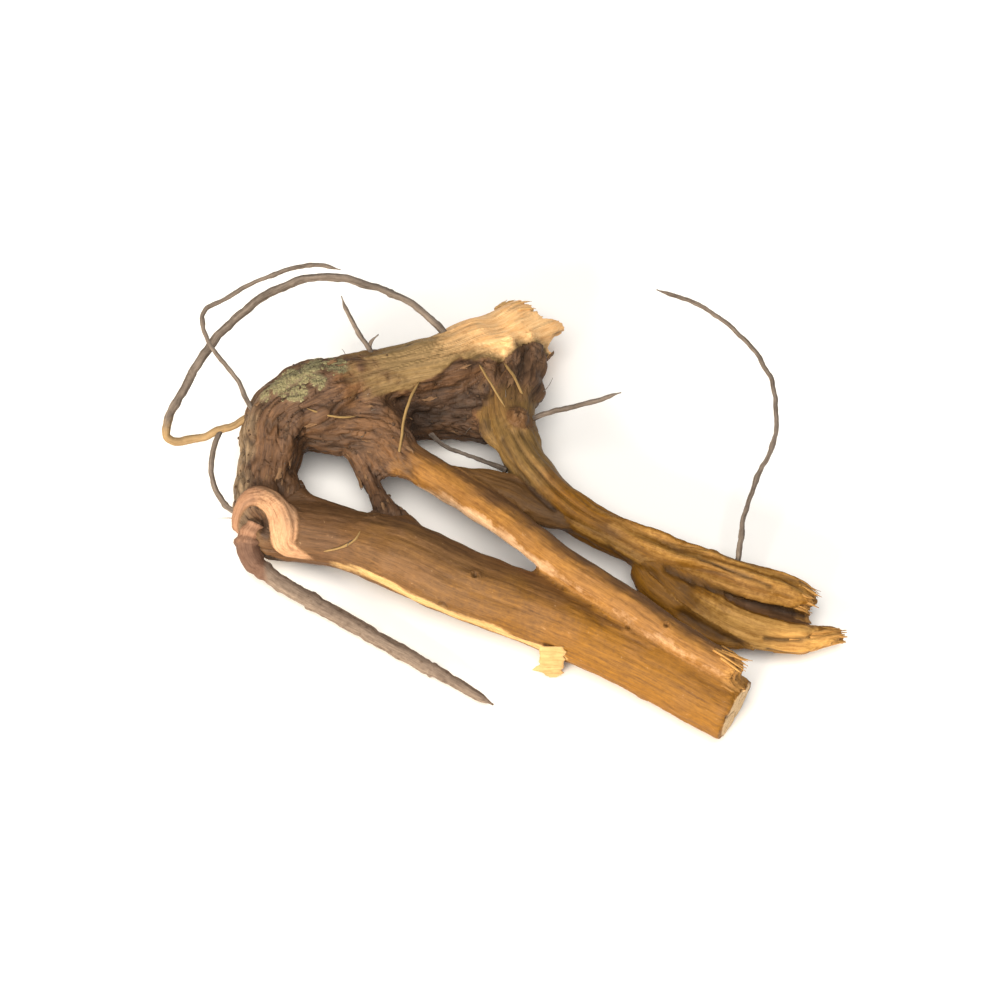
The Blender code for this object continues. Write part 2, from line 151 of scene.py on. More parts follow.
# Folds and ridges that only the looks have: they give the crown and the side roots their flowing wood.
FOLD_ROUTES = [
    [(-17.0, 14.5, 6.0, 3.0), (-12.0, 15.8, 5.6, 3.1), (-6.0, 17.2, 5.4, 3.3), (-1.0, 19.0, 5.0, 3.4)],
    [
        (4.4, 20.5, 5.6, 1.4), (3.0, 16.5, 6.4, 1.5), (2.7, 13.0, 6.8, 1.5), (3.0, 9.0, 6.9, 1.6),
        (3.8, 6.0, 6.7, 1.3),
    ],
    [
        (-3.2, 22.0, 9.8, 0.7), (-1.6, 19.5, 9.0, 0.9), (-1.0, 16.5, 8.0, 0.9), (0.6, 12.6, 8.4, 0.8),
        (1.8, 9.5, 8.6, 0.6),
    ],
    [
        (0.4, 23.5, 9.4, 0.8), (1.4, 20.6, 8.6, 1.0), (2.6, 17.4, 7.8, 0.9), (3.2, 13.5, 7.6, 0.8),
        (3.6, 9.8, 7.4, 0.6),
    ],
    [(3.6, 24.0, 8.2, 0.9), (4.6, 21.0, 7.0, 1.0), (4.6, 18.0, 6.4, 0.9), (4.2, 14.5, 6.4, 0.8)],
    [(-7.0, 20.0, 10.6, 0.7), (-6.0, 17.6, 9.6, 0.8), (-5.0, 15.6, 7.4, 0.8), (-4.6, 13.0, 5.8, 0.7)],
    [(-18.0, 14.0, 10.8, 0.8), (-15.4, 12.0, 9.9, 0.9), (-13.2, 9.4, 8.8, 0.9), (-11.5, 6.6, 7.9, 0.7)],
    [(-17.0, 8.6, 6.0, 1.6), (-14.8, 5.6, 6.0, 1.3), (-12.2, 5.1, 6.2, 1.2), (-9.5, 3.7, 6.4, 1.0)],
    [(-24.6, 12.0, 11.4, 0.8), (-25.4, 9.0, 10.6, 0.9), (-26.6, 6.0, 8.8, 0.8), (-27.4, 2.8, 7.4, 0.6)],
    [(0.5, 24.4, 9.0, 1.2), (3.2, 25.6, 7.6, 1.4), (5.6, 26.2, 6.2, 1.3), (7.4, 26.9, 5.2, 0.9)],
    [(-27.0, 5.2, 5.6, 1.5), (-25.0, 1.2, 5.6, 1.5), (-22.0, -0.5, 5.6, 1.3), (-18.0, -1.8, 5.6, 1.0)],
    [(-15.0, 1.8, 5.4, 0.9), (-13.9, -0.3, 5.4, 1.2), (-11.7, -2.5, 5.6, 1.2), (-9.5, -4.6, 5.8, 1.0)],
    [
        (-3.6, 15.6, 6.8, 0.9), (-2.4, 12.9, 6.8, 1.2), (-1.4, 10.2, 6.8, 1.15), (0.3, 7.7, 6.7, 1.0),
        (2.2, 4.8, 6.6, 0.9),
    ],
]

# Wood strands on the torn prongs: the root, the way along it from and to, and the turn round it from and to.
# A turn of 0 faces the camera, and a positive one lies lower in the picture. Then the radius, from and to.
WOOD_STRANDS = [
    ("fork", (5.0, 24.6), (-58.0, -44.0), (0.65, 0.80)),
    ("fork", (8.0, 24.2), (-14.0, -8.0), (0.65, 0.80)),
    ("fork", (6.0, 28.2), (22.0, 24.0), (0.60, 0.60)),
    ("fork", (10.0, 24.6), (62.0, 56.0), (0.65, 0.80)),
    ("upper_side", (30.0, 57.4), (-62.0, -66.0), (0.60, 0.60)),
    ("upper_side", (33.0, 57.8), (-20.0, -14.0), (0.62, 0.62)),
    ("upper_side", (29.0, 57.6), (26.0, 40.0), (0.62, 0.66)),
]

# Local swellings and hollows, as in the solid: middle, reach and depth.
SWELLINGS = [
    ((-30.2, -3.2, 7.0), 1.9, -1.7), ((-0.5, 25.0, 10.0), 3.4, -0.7), ((-22.0, 10.0, 9.5), 3.0, 0.7),
    ((-15.5, 11.5, 9.5), 2.6, 0.6), ((-10.0, 19.5, 11.0), 2.4, 0.4), ((-26.5, 15.0, 8.0), 3.0, 0.6),
    ((3.8, 16.5, 7.0), 2.6, 0.8), ((2.5, 21.0, 3.5), 3.0, -0.7), ((9.0, -17.5, 8.0), 3.0, 0.35),
    ((-9.0, -8.0, 2.0), 3.5, 0.5),
]

# The photograph: the size of its pixels, the pixel that shows the frame's origin, and its viewing angle.
PHOTO_PIXEL = 0.35
PHOTO_ORIGIN = (355.3, 586.4)
CAMERA_ELEVATION = radians(58.0)
PICTURE_RIGHT = np.array([1.0, 0.0, 0.0])
PICTURE_UP = np.array([0.0, sin(CAMERA_ELEVATION), cos(CAMERA_ELEVATION)])
TO_CAMERA = np.array([0.0, -cos(CAMERA_ELEVATION), sin(CAMERA_ELEVATION)])

# Along the main root's route, from the broken stub: how far the wood is bare and the bark old and dark.
PEELED_LENGTH = 27.5
CROWN_LENGTH = 51.0
# How far the crown's old bark reaches along the side roots.
OLD_BARK_REACH = {"lower_side": 6.0, "upper_side": 9.6}

# Spots of the finish, as the photograph's pixels, and their reach in mm.
SPOTS = {
    "lichen": [
        ((288, 529), 2.0), ((283, 532), 2.2), ((277, 535), 1.9), ((291, 534), 1.4), ((284, 538), 1.4),
        ((296, 528), 1.8), ((272, 539), 1.2),
    ],
    "knob": [((265, 593), 1.8)],
    "pit": [((272.2, 584), 1.0), ((273.0, 588), 0.9)],
    # The crown's hollow, which holds soil and painted shade.
    "hollow": [((326, 545), 2.8), ((333, 543), 2.7), ((340, 543), 2.7), ((345, 540), 2.4)],
    # Spots of painted shade, under the crown's belly and at the upper side root's start.
    "shade": [
        ((283, 553), 1.4), ((291, 555.5), 2.0), ((297, 556), 2.0), ((303, 557), 1.5), ((348, 550), 1.9),
        ((350, 555), 1.6), ((311, 544), 1.4),
    ],
    "side_strand": [((349, 546), 1.6), ((352, 552), 1.5)],
    "folds": [((345, 530), 4.0), ((352, 530), 4.5), ((359, 527), 3.8), ((365, 531), 3.2)],
    "ruddy": [((314, 549), 2.4), ((317, 557), 2.2), ((307, 549), 1.8), ((300, 532), 2.0), ((303, 538), 2.0)],
}

# Creases in the wood, as the photograph's pixels that each runs along, with its depth and width in mm.
CREASES = [
    ([(412, 600), (421, 604), (432, 608), (444, 612), (460, 616.5)], 0.60, 0.60),
    ([(417, 615.3), (421, 617.8), (425, 619.8), (430, 622.8), (436, 626)], 0.80, 0.80),
    ([(424, 596.5), (436, 600.5), (448, 606)], 0.25, 0.35),
    ([(356, 555), (361, 565), (368, 574), (374, 580)], 0.25, 0.40),
    ([(445, 623.6), (452, 624.2), (458, 623.4), (463, 622.2)], 0.35, 0.34),
    ([(446, 627.2), (452, 628.6), (458, 628.6), (463, 627.0)], 0.22, 0.30),
]
# The bright lines on the lower edges of two roots, worn to pale fibre with a painted highlight over it, as
# pixels, and how wide they are in mm.
WORN_AND_LIT_LINES = {
    "main": (
        [
            (298, 598.6), (309, 602), (315, 605), (322, 608.5), (328, 611), (337, 615), (352, 620),
            (360, 623.5), (375, 629),
        ],
        1.15,
    ),
    "lower_side": ([(327, 572), (335, 578), (345, 584.5), (354, 591), (364, 598)], 0.85),
}
# The lower edge of the wood that is bare on the crown's ridge, as pixels.
PEELED_EDGE = [
    (296, 541), (304, 542), (320, 538), (328, 534), (337, 528), (344, 525), (351, 525.5), (356, 526.5),
    (361, 521), (368, 520), (374, 525),
]

# Scars of shed rootlets: the root, how far along it, the turn round it in degrees, and the radius.
ROOTLET_SCARS = [
    ("main", 63.0, 205, 0.55), ("main", 71.0, 140, 0.7), ("main", 77.5, 250, 0.5),
    ("main", 84.0, 178, 0.5), ("main", 90.0, 100, 0.75), ("main", 96.5, 228, 0.5),
    ("main", 101.0, 20, 0.7), ("main", 75.0, 320, 0.8), ("main", 44.0, 60, 0.9),
    ("main", 37.0, 200, 0.8), ("belly", 8.0, 240, 0.7), ("lower_side", 22.0, 190, 0.45),
    ("lower_side", 34.0, 120, 0.45), ("lower_side", 45.0, 300, 0.4), ("upper_side", 27.0, 160, 0.6),
    ("upper_side", 41.0, 90, 0.5), ("upper_side", 46.0, 250, 0.5), ("fork", 15.0, 200, 0.5),
    ("main", 18.0, 300, 0.6),
]

# Torn ends: the root, whether it is the route's first end, how deep the tear bites, and how far it reaches.
TORN_ENDS = [
    ("main", True, 1.5, 5.0), ("lower_side", False, 0.7, 2.6), ("upper_side", False, 0.8, 3.0),
    ("fork", False, 1.0, 4.0), ("stump", False, 0.5, 1.0),
]

# How finely the body is built, and the share of its triangles that is kept once its bark is raised. That
# leaves just under 200,000 of them.
BODY_VOXEL = 0.46
BODY_KEPT = 0.68
# The distance between the rings of a thick root's tube, the sides of each ring, and how far the bark of one
# root blends into the next.
ROUTE_SPACING = 0.3
TUBE_SIDES = 48
SEAM_WIDTH = 0.45
# Points within this margin of a line are measured, and the others count as this far from it, in mm.
LINE_MARGIN = 2.0
FAR = 99.0


def lin(code):
    """A colour written in sRGB hex, as the linear red, green, blue and alpha that a shader takes."""
    parts = [int(code[start:start + 2], 16) / 255 for start in (1, 3, 5)]
    linear = [part / 12.92 if part <= 0.04045 else ((part + 0.055) / 1.055) ** 2.4 for part in parts]
    return (*linear, 1.0)


def scrambled(cells, salt):
    """A scrambled whole number for each cell of a grid."""
    x, y, z = (cells[:, axis].astype(np.uint64) for axis in range(3))
    mixed = x * np.uint64(0x9E3779B185EBCA87) ^ y * np.uint64(0xC2B2AE3D27D4EB4F)
    mixed = mixed ^ z * np.uint64(0x165667B19E3779F9) ^ np.uint64(salt * 0x27D4EB2F + 977)
    mixed = (mixed ^ mixed >> np.uint64(29)) * np.uint64(0xBF58476D1CE4E5B9)
    return mixed ^ mixed >> np.uint64(32)


def chance(numbers, shift):
    """Ten of a scrambled number's bits, as a share from 0 to 1."""
    return (numbers >> np.uint64(shift) & np.uint64(1023)).astype(float) / 1023.0


def lumps(places, size, salt=0):
    """Smooth noise from about -1 to 1. Size is a lump's length in mm, or its three lengths."""
    scaled = places / np.asarray(size, float)
    corner = np.floor(scaled)
    inside = scaled - corner
    fade = inside * inside * (3.0 - 2.0 * inside)
    total = np.zeros(len(scaled))
    for step in np.ndindex(2, 2, 2):
        numbers = scrambled(corner.astype(np.int64) + step, salt)
        slope = np.stack([chance(numbers, shift) * 2.0 - 1.0 for shift in (0, 10, 20)], axis=1)
        share = np.prod(np.where(step, fade, 1.0 - fade), axis=1)
        total += share * np.sum(slope * (inside - step), axis=1)
    return total * 1.7


def plates(places, size, salt=0):
    """Cracked plates: how far each place is from its plate's edge, and its plate's own share, 0 to 1."""
    scaled = places / np.asarray(size, float)
    corner = np.floor(scaled)
    inside = scaled - corner
    nearest = np.full(len(scaled), 9.0)
    second = np.full(len(scaled), 9.0)
    own = np.zeros(len(scaled))
    for step in np.ndindex(3, 3, 3):
        offset = np.array(step) - 1
        numbers = scrambled(corner.astype(np.int64) + offset, salt)
        middle = np.stack([chance(numbers, shift) for shift in (0, 10, 20)], axis=1) + offset
        away = np.linalg.norm(middle - inside, axis=1)
        closer = away < nearest
        second = np.where(closer, nearest, np.minimum(second, away))
        own = np.where(closer, chance(numbers, 40), own)
        nearest = np.minimum(nearest, away)
    return second - nearest, own


def rise(values, start, end):
    """0 before start, 1 after end, and an even, soft rise between them."""
    share = np.clip((values - start) / (end - start), 0.0, 1.0)
    return share * share * (3.0 - 2.0 * share)


def bell(values, width):
    """1 where the values are 0, and near 0 from about two widths away."""
    return np.exp(-(values / width) ** 2)


def centreline(route, spacing=ROUTE_SPACING):
    """Points along a smooth curve through a route's places, and the root's radius at each."""
    spline = bpy.data.curves.new("route", "CURVE").splines.new("BEZIER")
    spline.bezier_points.add(len(route) - 1)
    for knot, (x, y, z, radius) in zip(spline.bezier_points, route):
        knot.co = (x, y, z)
        knot.radius = radius
        knot.handle_left_type = "AUTO"
        knot.handle_right_type = "AUTO"
    places = []
    radii = []
    knots = list(spline.bezier_points)
    for knot, after in zip(knots, knots[1:]):
        steps = max(2, round((after.co - knot.co).length / spacing))
        run = interpolate_bezier(knot.co, knot.handle_right, after.handle_left, after.co, steps + 1)
        places += run[:-1]
        radii += list(np.linspace(knot.radius, after.radius, steps + 1)[:-1])
    places.append(knots[-1].co.copy())
    radii.append(knots[-1].radius)
    return np.array(places), np.array(radii)


def tube_faces(rings, sides):
    """The faces of a tube, closed at both ends. The middles of its ends are its last two points."""
    first = np.arange(rings - 1)[:, None] * sides + np.arange(sides)
    after = np.arange(rings - 1)[:, None] * sides + np.roll(np.arange(sides), -1)
    faces = np.stack([first, after, after + sides, first + sides], axis=2).reshape(-1, 4).tolist()
    last = rings * sides
    for number in range(sides):
        after_number = (number + 1) % sides
        faces.append((after_number, number, last))
        faces.append((last - sides + number, last - sides + after_number, last + 1))
    return faces


class Strand:
    """A root's middle line, with directions along it and across it that don't twist on the way."""

    def __init__(self, places, radii, start=0.0):
        self.places = places
        self.radii = radii
        steps = np.diff(places, axis=0)
        self.length = np.concatenate([[0.0], np.cumsum(np.linalg.norm(steps, axis=1))])
        self.start = start
        ways = np.gradient(places, axis=0)
        self.along = ways / np.linalg.norm(ways, axis=1)[:, None]
        side = np.cross(self.along[0], (0.31, 0.17, 0.93))
        sides = []
        for along in self.along:
            side = side - along * side.dot(along)
            side = side / np.linalg.norm(side)
            sides.append(side)
        self.side = np.array(sides)
        self.up = np.cross(self.along, self.side)

    def nearest(self, points):
        """The number of the middle line's point that is nearest to each of these points."""
        found = np.empty(len(points), int)
        size = np.sum(self.places ** 2, axis=1)
        chunk = 20000
        for first in range(0, len(points), chunk):
            part = points[first:first + chunk]
            found[first:first + chunk] = np.argmin(size - 2.0 * part @ self.places.T, axis=1)
        return found

    def read(self, points):
        """For each point: its height over the root's round surface, its way, its grain and its direction."""
        found = self.nearest(points)
        offset = points - self.places[found]
        forward = np.sum(offset * self.along[found], axis=1)
        across = np.sum(offset * self.side[found], axis=1)
        upward = np.sum(offset * self.up[found], axis=1)
        way = self.length[found] + forward
        over = np.linalg.norm(offset, axis=1) - self.radii[found]
        return over, way, np.stack([way + self.start, across, upward], axis=1), self.along[found]

    def at(self, ways):
        """The middle line's places at these distances along it, past its ends too, and the numbers there."""
        places = np.stack([np.interp(ways, self.length, self.places[:, axis]) for axis in range(3)], axis=1)
        places += self.along[0] * np.minimum(ways, 0.0)[:, None]
        places += self.along[-1] * np.maximum(ways - self.length[-1], 0.0)[:, None]
        return places, np.searchsorted(self.length, ways).clip(0, len(self.length) - 1)

    def facing(self, numbers, turns):
        """Directions out of the root, at turns in degrees: 0 faces the camera, 90 the picture's bottom."""
        along = self.along[numbers]
        front = TO_CAMERA - along * (along @ TO_CAMERA)[:, None]
        front /= np.linalg.norm(front, axis=1)[:, None]
        turns = np.radians(turns)[:, None]
        return np.cos(turns) * front + np.sin(turns) * np.cross(along, front)

    def tube(self, sides, swell=None):
        """Points, faces and grain of a closed tube. Swell gives a share of the radius at each point."""
        turn = np.linspace(0.0, 2.0 * pi, sides, endpoint=False)
        aside = np.cos(turn)
        upward = np.sin(turn)
        ring = aside[None, :, None] * self.side[:, None] + upward[None, :, None] * self.up[:, None]
        radius = np.repeat(self.radii[:, None], sides, axis=1)
        grain = np.broadcast_arrays(self.length[:, None] + self.start, radius * aside, radius * upward)
        grain = np.stack(grain, axis=2).reshape(-1, 3)
        if swell is not None:
            radius = radius * (1.0 + swell(grain).reshape(radius.shape))
        points = (self.places[:, None] + radius[:, :, None] * ring).reshape(-1, 3)
        points = np.concatenate([points, self.places[[0, -1]]])
        ends = [[self.start, 0.0, 0.0], [self.length[-1] + self.start, 0.0, 0.0]]
        return points, tube_faces(len(self.places), sides), np.concatenate([grain, ends])


def mesh_piece(name, points, faces):
    """A smooth mesh object made of points in mm, none of them below the table."""
    points = np.array(points)
    points[:, 2] = np.maximum(points[:, 2], 0.0)
    mesh = bpy.data.meshes.new(name)
    mesh.from_pydata((points * MM).tolist(), [], faces)
    mesh.update()
    mesh.shade_smooth()
    piece = bpy.data.objects.new(name, mesh)
    bpy.context.scene.collection.objects.link(piece)
    return piece


def together(shapes):
    """Several (points, faces, grain) shapes as one."""
    faces = []
    count = 0
    for shape_points, shape_faces, _ in shapes:
        faces += [tuple(corner + count for corner in face) for face in shape_faces]
        count += len(shape_points)
    points, grain = (np.concatenate([shape[part] for shape in shapes]) for part in (0, 2))
    return points, faces, grain


def with_modifier(piece, kind, **settings):
    """Applies one modifier to a piece's mesh."""
    modifier = piece.modifiers.new(kind.lower(), kind)
    for key, value in settings.items():
        setattr(modifier, key, value)
    bpy.context.view_layer.update()
    graph = bpy.context.evaluated_depsgraph_get()
    mesh = bpy.data.meshes.new_from_object(piece.evaluated_get(graph))
    piece.modifiers.remove(modifier)
    piece.data = mesh


def keep(mesh, name, values):
    """Stores a number or a vector for each vertex, which a material reads by that name."""
    kind, field = ("FLOAT", "value") if np.ndim(values) == 1 else ("FLOAT_VECTOR", "vector")
    layer = mesh.attributes.new(name, kind, "POINT")
    layer.data.foreach_set(field, np.asarray(values, np.float32).ravel())


def read_points(mesh):
    """A mesh's points in mm, and its normals."""
    points = np.empty(len(mesh.vertices) * 3, np.float32)
    mesh.vertices.foreach_get("co", points)
    normals = np.empty(len(mesh.vertices) * 3, np.float32)
    mesh.vertex_normals.foreach_get("vector", normals)
    return points.reshape(-1, 3).astype(float) / MM, normals.reshape(-1, 3).astype(float)


def in_picture(across, down):
    """Where a pixel of the photograph is, in mm to the right of the frame's origin and above it."""
    return (across - PHOTO_ORIGIN[0]) * PHOTO_PIXEL, (PHOTO_ORIGIN[1] - down) * PHOTO_PIXEL


def between(rows, steps):
    """The columns of a table, each with the values at these steps between its rows."""
    return [np.interp(steps, np.arange(len(rows)), column) for column in np.array(rows, float).T]


def seen_at(surface, pixel):
    """The place, in mm, of what a pixel of the photograph shows of the surface.

    Where the pixel just misses the root, it is the place nearest to its line of sight.
    """
    right, up = in_picture(*pixel)
    middle = PICTURE_RIGHT * right + PICTURE_UP * up
    place, *_ = surface.ray_cast(Vector((middle + TO_CAMERA * 100.0) * MM), -Vector(TO_CAMERA))
    if place is None:
        on_sight = [Vector((middle + TO_CAMERA * depth) * MM) for depth in np.arange(-12.0, 20.0, 0.5)]
        hits = [surface.find_nearest(point) for point in on_sight]
        place, *_ = min(hits, key=lambda hit: hit[3])
    return np.array(place) / MM


def above_line(points, pixels):
    """How far each point lies above a line of the photograph's pixels, in mm in the picture."""
    across, down = np.array(pixels, float).T
    column = points[:, 0] / PHOTO_PIXEL + PHOTO_ORIGIN[0]
    return points @ PICTURE_UP - in_picture(column, np.interp(column, across, down))[1]


def along_line(points, surface, pixels):
    """How far each point is, in mm, from a line on the surface along these pixels of the photograph."""
    line = between(pixels, np.arange(0.0, len(pixels) - 1.0, 0.05))
    places = np.array([seen_at(surface, pixel) for pixel in zip(*line)])
    away = np.full(len(points), FAR)
    low = places.min(axis=0) - LINE_MARGIN
    high = places.max(axis=0) + LINE_MARGIN
    near = np.all((points > low) & (points < high), axis=1)
    square = np.sum(points[near] ** 2, axis=1)[:, None] + np.sum(places ** 2, axis=1)
    square -= 2.0 * points[near] @ places.T
    away[near] = np.sqrt(np.maximum(square.min(axis=1), 0.0))
    return away


def spotted(points, surface, spots, ragged):
    """How far each point belongs to any of these spots, whose edges are ragged."""
    share = np.zeros(len(points))
    for pixel, reach in spots:
        away = np.linalg.norm(points - seen_at(surface, pixel), axis=1) / reach + 0.45 * ragged
        share = np.maximum(share, 1.0 - rise(away, 0.30, 1.20))
    return share


# The noise of each root, rootlet and fibre is read far from the others', so that no two are alike.
GRAIN_STEP = 100.0
ROOTLET_GRAIN = 2000.0
FIBRE_GRAIN = 3000.0
NOISE_STEP = 17.3

THICK = {
    name: Strand(*centreline(route), start=GRAIN_STEP * number)
    for number, (name, route) in enumerate(THICK_ROUTES.items())
}
ORDER = list(THICK)


def wood_strand(root, ways, turns, radii):
    """A strand of wood that comes up out of a root's surface and lies half sunk in it."""
    strand = THICK[root]
    places, numbers = strand.at(np.arange(*ways, ROUTE_SPACING))
    share = np.linspace(0.0, 1.0, len(places))
    out = strand.facing(numbers, np.interp(share, (0.0, 1.0), turns))
    radius = np.interp(share, (0.0, 1.0), radii)
    sunk = radius * (0.05 + 1.1 * (1.0 - rise(share, 0.0, 0.3)))
    return Strand(places + out * (strand.radii[numbers] - sunk)[:, None], radius)


STRANDS = [wood_strand(*row) for row in WOOD_STRANDS]


def grown_together():
    """The thick roots as one closed, smooth mesh, before its bark."""
    folds = [Strand(*centreline(route)) for route in FOLD_ROUTES]
    points, faces, _ = together([strand.tube(TUBE_SIDES) for strand in [*THICK.values(), *folds, *STRANDS]])
    body = mesh_piece("root_body", points, faces)
    with_modifier(body, "REMESH", mode="VOXEL", voxel_size=BODY_VOXEL * MM, adaptivity=0.0)
    with_modifier(body, "SMOOTH", factor=0.5, iterations=4)
    with_modifier(body, "SUBSURF", levels=1, render_levels=1)
    return body


def swelling(points):
    """How far the solid's own swellings and hollows raise each point, in mm."""
    moved = np.zeros(len(points))
    for middle, reach, depth in SWELLINGS:
        away = np.linalg.norm(points - middle, axis=1) / reach
        moved += np.where(away < 1.0, depth * (1.0 - away * away) ** 2, 0.0)
    return moved


# Each kind of bark or wood gives a height in mm and a darkness, from places along and across its root. The
# darkness is painted shade in its low places.
def smooth_bark(grain):
    """Thin dried bark: long, shallow wrinkles. It also gives where its papery skin hasn't worn through."""
    wrinkle = 0.6 * lumps(grain, (7.0, 0.9, 0.9)) + 0.4 * lumps(grain, (3.5, 0.45, 0.45), 1)
    rings = lumps(grain, (0.8, 3.0, 3.0), 2) * rise(lumps(grain, 5.0, 5), 0.0, 0.5)
    skin = rise(lumps(grain, (9.0, 1.8, 1.8), 3) + 0.5 * lumps(grain, (2.0, 0.6, 0.6), 4), -0.15, 0.10)
    return 0.10 * wrinkle + 0.03 * rings + 0.04 * skin, np.clip(-1.3 * wrinkle, 0.0, 1.0) * 0.3, skin


def crown_bark(grain):
    """Old bark of the crown: deep cracks along the root, and scales between them that lift unevenly."""
    wrinkle = 0.6 * lumps(grain, (4.5, 0.9, 0.9), 6) + 0.4 * lumps(grain, (2.2, 0.45, 0.45), 7)
    crack = lumps(grain, (9.0, 1.7, 1.7), 8) + 0.35 * lumps(grain, (1.6, 0.7, 0.7), 9)
    edge, own = plates(grain, (2.8, 1.1, 1.1), 10)
    furrow = bell(crack, 0.13)
    gap = bell(edge, 0.12)
    height = 0.14 * wrinkle + 0.13 * (own - 0.5) - 0.08 * gap - 0.22 * furrow
    return height, np.clip(0.65 * furrow + 0.30 * gap - 0.3 * wrinkle, 0.0, 1.0)


def split_wood(grain):
    """Wood that split along its fibres, which leaves long splintery steps."""
    fibre = 0.5 * lumps(grain, (12.0, 0.6, 0.6), 11) + 0.5 * lumps(grain, (8.0, 0.32, 0.32), 12)
    terrace = lumps(grain, (13.0, 1.1, 1.1), 13) * 2.5
    step = np.floor(terrace) + rise(terrace - np.floor(terrace), 0.75, 1.0)
    return 0.10 * fibre + 0.10 * step, np.clip(-1.0 * fibre, 0.0, 1.0)


def flutes(grain):
    """Round ridges along the root with sharp creases between them, where it grew in strands."""
    wave = lumps(grain, (19.0, 2.1, 2.1), 24) + 0.2 * lumps(grain, (7.0, 0.9, 0.9), 26)
    return 1.5 * np.abs(wave) - 0.4, bell(wave, 0.13)


KINDS = {"smooth": smooth_bark, "crown": crown_bark, "wood": split_wood, "flutes": flutes}


class Skin:
    """The body's points, and what the thick roots say about each: its root, way, grain and bark relief."""

    def __init__(self, body):
        self.surface = BVHTree.FromObject(body, bpy.context.evaluated_depsgraph_get())
        self.points, self.normals = read_points(body.data)
        self.reads = dict(zip(ORDER, (strand.read(self.points) for strand in THICK.values())))
        over = np.stack([read[0] for read in self.reads.values()], axis=1)
        share = np.exp(-(over - over.min(axis=1)[:, None]) / SEAM_WIDTH)
        self.share = share / share.sum(axis=1)[:, None]
        self.closest = np.argmin(over, axis=1)
        rows = np.arange(len(self.points))
        self.way, self.grain, self.along = (
            np.stack([read[part] for read in self.reads.values()])[self.closest, rows] for part in (1, 2, 3)
        )
        self.ragged = lumps(self.points, 2.6, 20) + 0.5 * lumps(self.points, 0.9, 21)
        # How far each point faces the upper right of the picture, the side that the light leaves in shade.
        # Painted shade and painted highlights follow it.
        self.flank = self.normals @ (0.62 * PICTURE_RIGHT + 0.78 * PICTURE_UP) + 0.35 * self.ragged
        mixed = {kind: self.mixed(shape) for kind, shape in KINDS.items()}
        self.height = {kind: whole[0] for kind, whole in mixed.items()}
        self.dark = {kind: whole[1] for kind, whole in mixed.items()}
        self.papery = mixed["smooth"][2]

    def mixed(self, shape):
        """What one kind of bark gives over the whole body. It is blended where roots meet."""
        whole = np.zeros((3, len(self.points)))
        for number, read in enumerate(self.reads.values()):
            near = self.share[:, number] > 0.02
            given = np.stack(shape(read[2][near]))
            whole[:len(given), near] += self.share[near, number] * given
        return whole

    def past(self, start, end, ragged=0.0):
        """How far each point is past a stretch of its root, from 0 at its start to 1 at its end."""
        return rise(self.way + ragged * self.ragged, start, end)

    def on(self, *names):
        """Which points are on these roots."""
        return np.isin(self.closest, [ORDER.index(name) for name in names])

    def part(self, name):
        """How far each point is part of this root. It is blended where roots meet."""
        return self.share[:, ORDER.index(name)]

    def spots(self, name):
        """How far each point belongs to the spots of this name."""
        return spotted(self.points, self.surface, SPOTS[name], self.ragged)


def old_bark(skin, shares):
    """Where the crown has old bark, and the curled lip of the scar, whose top is the palest."""
    old = (1.0 - skin.past(CROWN_LENGTH - 4.0, CROWN_LENGTH + 6.0, 3.0)) * skin.on("main")
    old[skin.on("belly", "hollow_floor", "prop")] = 1.0
    for name, reach in OLD_BARK_REACH.items():
        old = np.maximum(old, (1.0 - skin.past(reach - 4.0, reach + 3.0, 2.0)) * skin.on(name))
    lip = rise(skin.part("scar_lip"), 0.3, 0.7)
    shares["lip"] = lip * rise(skin.reads["scar_lip"][1] + 0.8 * skin.ragged, 4.5, 10.0)
    shares["lip_side"] = lip - shares["lip"]
    shares["old_bark"] = np.maximum(old, np.maximum(shares["hollow"], 0.6 * shares["folds"]))
    shares["old_bark"] *= (1.0 - shares["knob"]) * (1.0 - lip) * (1.0 - shares["side_strand"])


def bare_ridge(skin, shares):
    """Where the stub and its ridge have lost their bark. The wood is freshest at the stub's end."""
    above = above_line(skin.points, PEELED_EDGE)
    bare = rise(above + 0.7 * skin.ragged, -0.4, 0.5)
    bare *= rise(skin.normals[:, 2] + 0.2 * skin.ragged, -0.35, -0.1)
    bare *= (1.0 - skin.past(PEELED_LENGTH - 9.0, PEELED_LENGTH + 1.0, 4.0)) * skin.on("main")
    shares["bare_wood"] = bare
    shares["fresh_wood"] = bare * (1.0 - skin.past(8.0, 19.0, 1.2))
    shares["fresh_wood"] *= rise(above + 0.5 * skin.ragged, -0.4, 2.6)


def cut_face(skin, shares):
    """The main root's cut end, with a rim of bark, and the height of its drying cracks and the painted shade
    in them.
    """
    strand = THICK["main"]
    _, way, grain, _ = skin.reads["main"]
    radius = np.hypot(grain[:, 1], grain[:, 2])
    turn = np.arctan2(grain[:, 2], grain[:, 1])
    face = rise(skin.normals @ strand.along[-1], 0.5, 0.8)
    face = face * (way > strand.length[-1] - 0.9) * skin.on("main")
    wood = face * (1.0 - rise(radius + 0.2 * skin.ragged, strand.radii[-1] - 0.7, strand.radii[-1] - 0.4))
    aside = np.sin(2.5 * turn + 0.4 * skin.ragged) * np.maximum(radius, 0.5) / 2.5
    crack = bell(aside, 0.16) * rise(radius, 0.3, 1.2) * face
    shares["cut_wood"] = wood
    return face, 0.8 * crack, -0.12 * crack


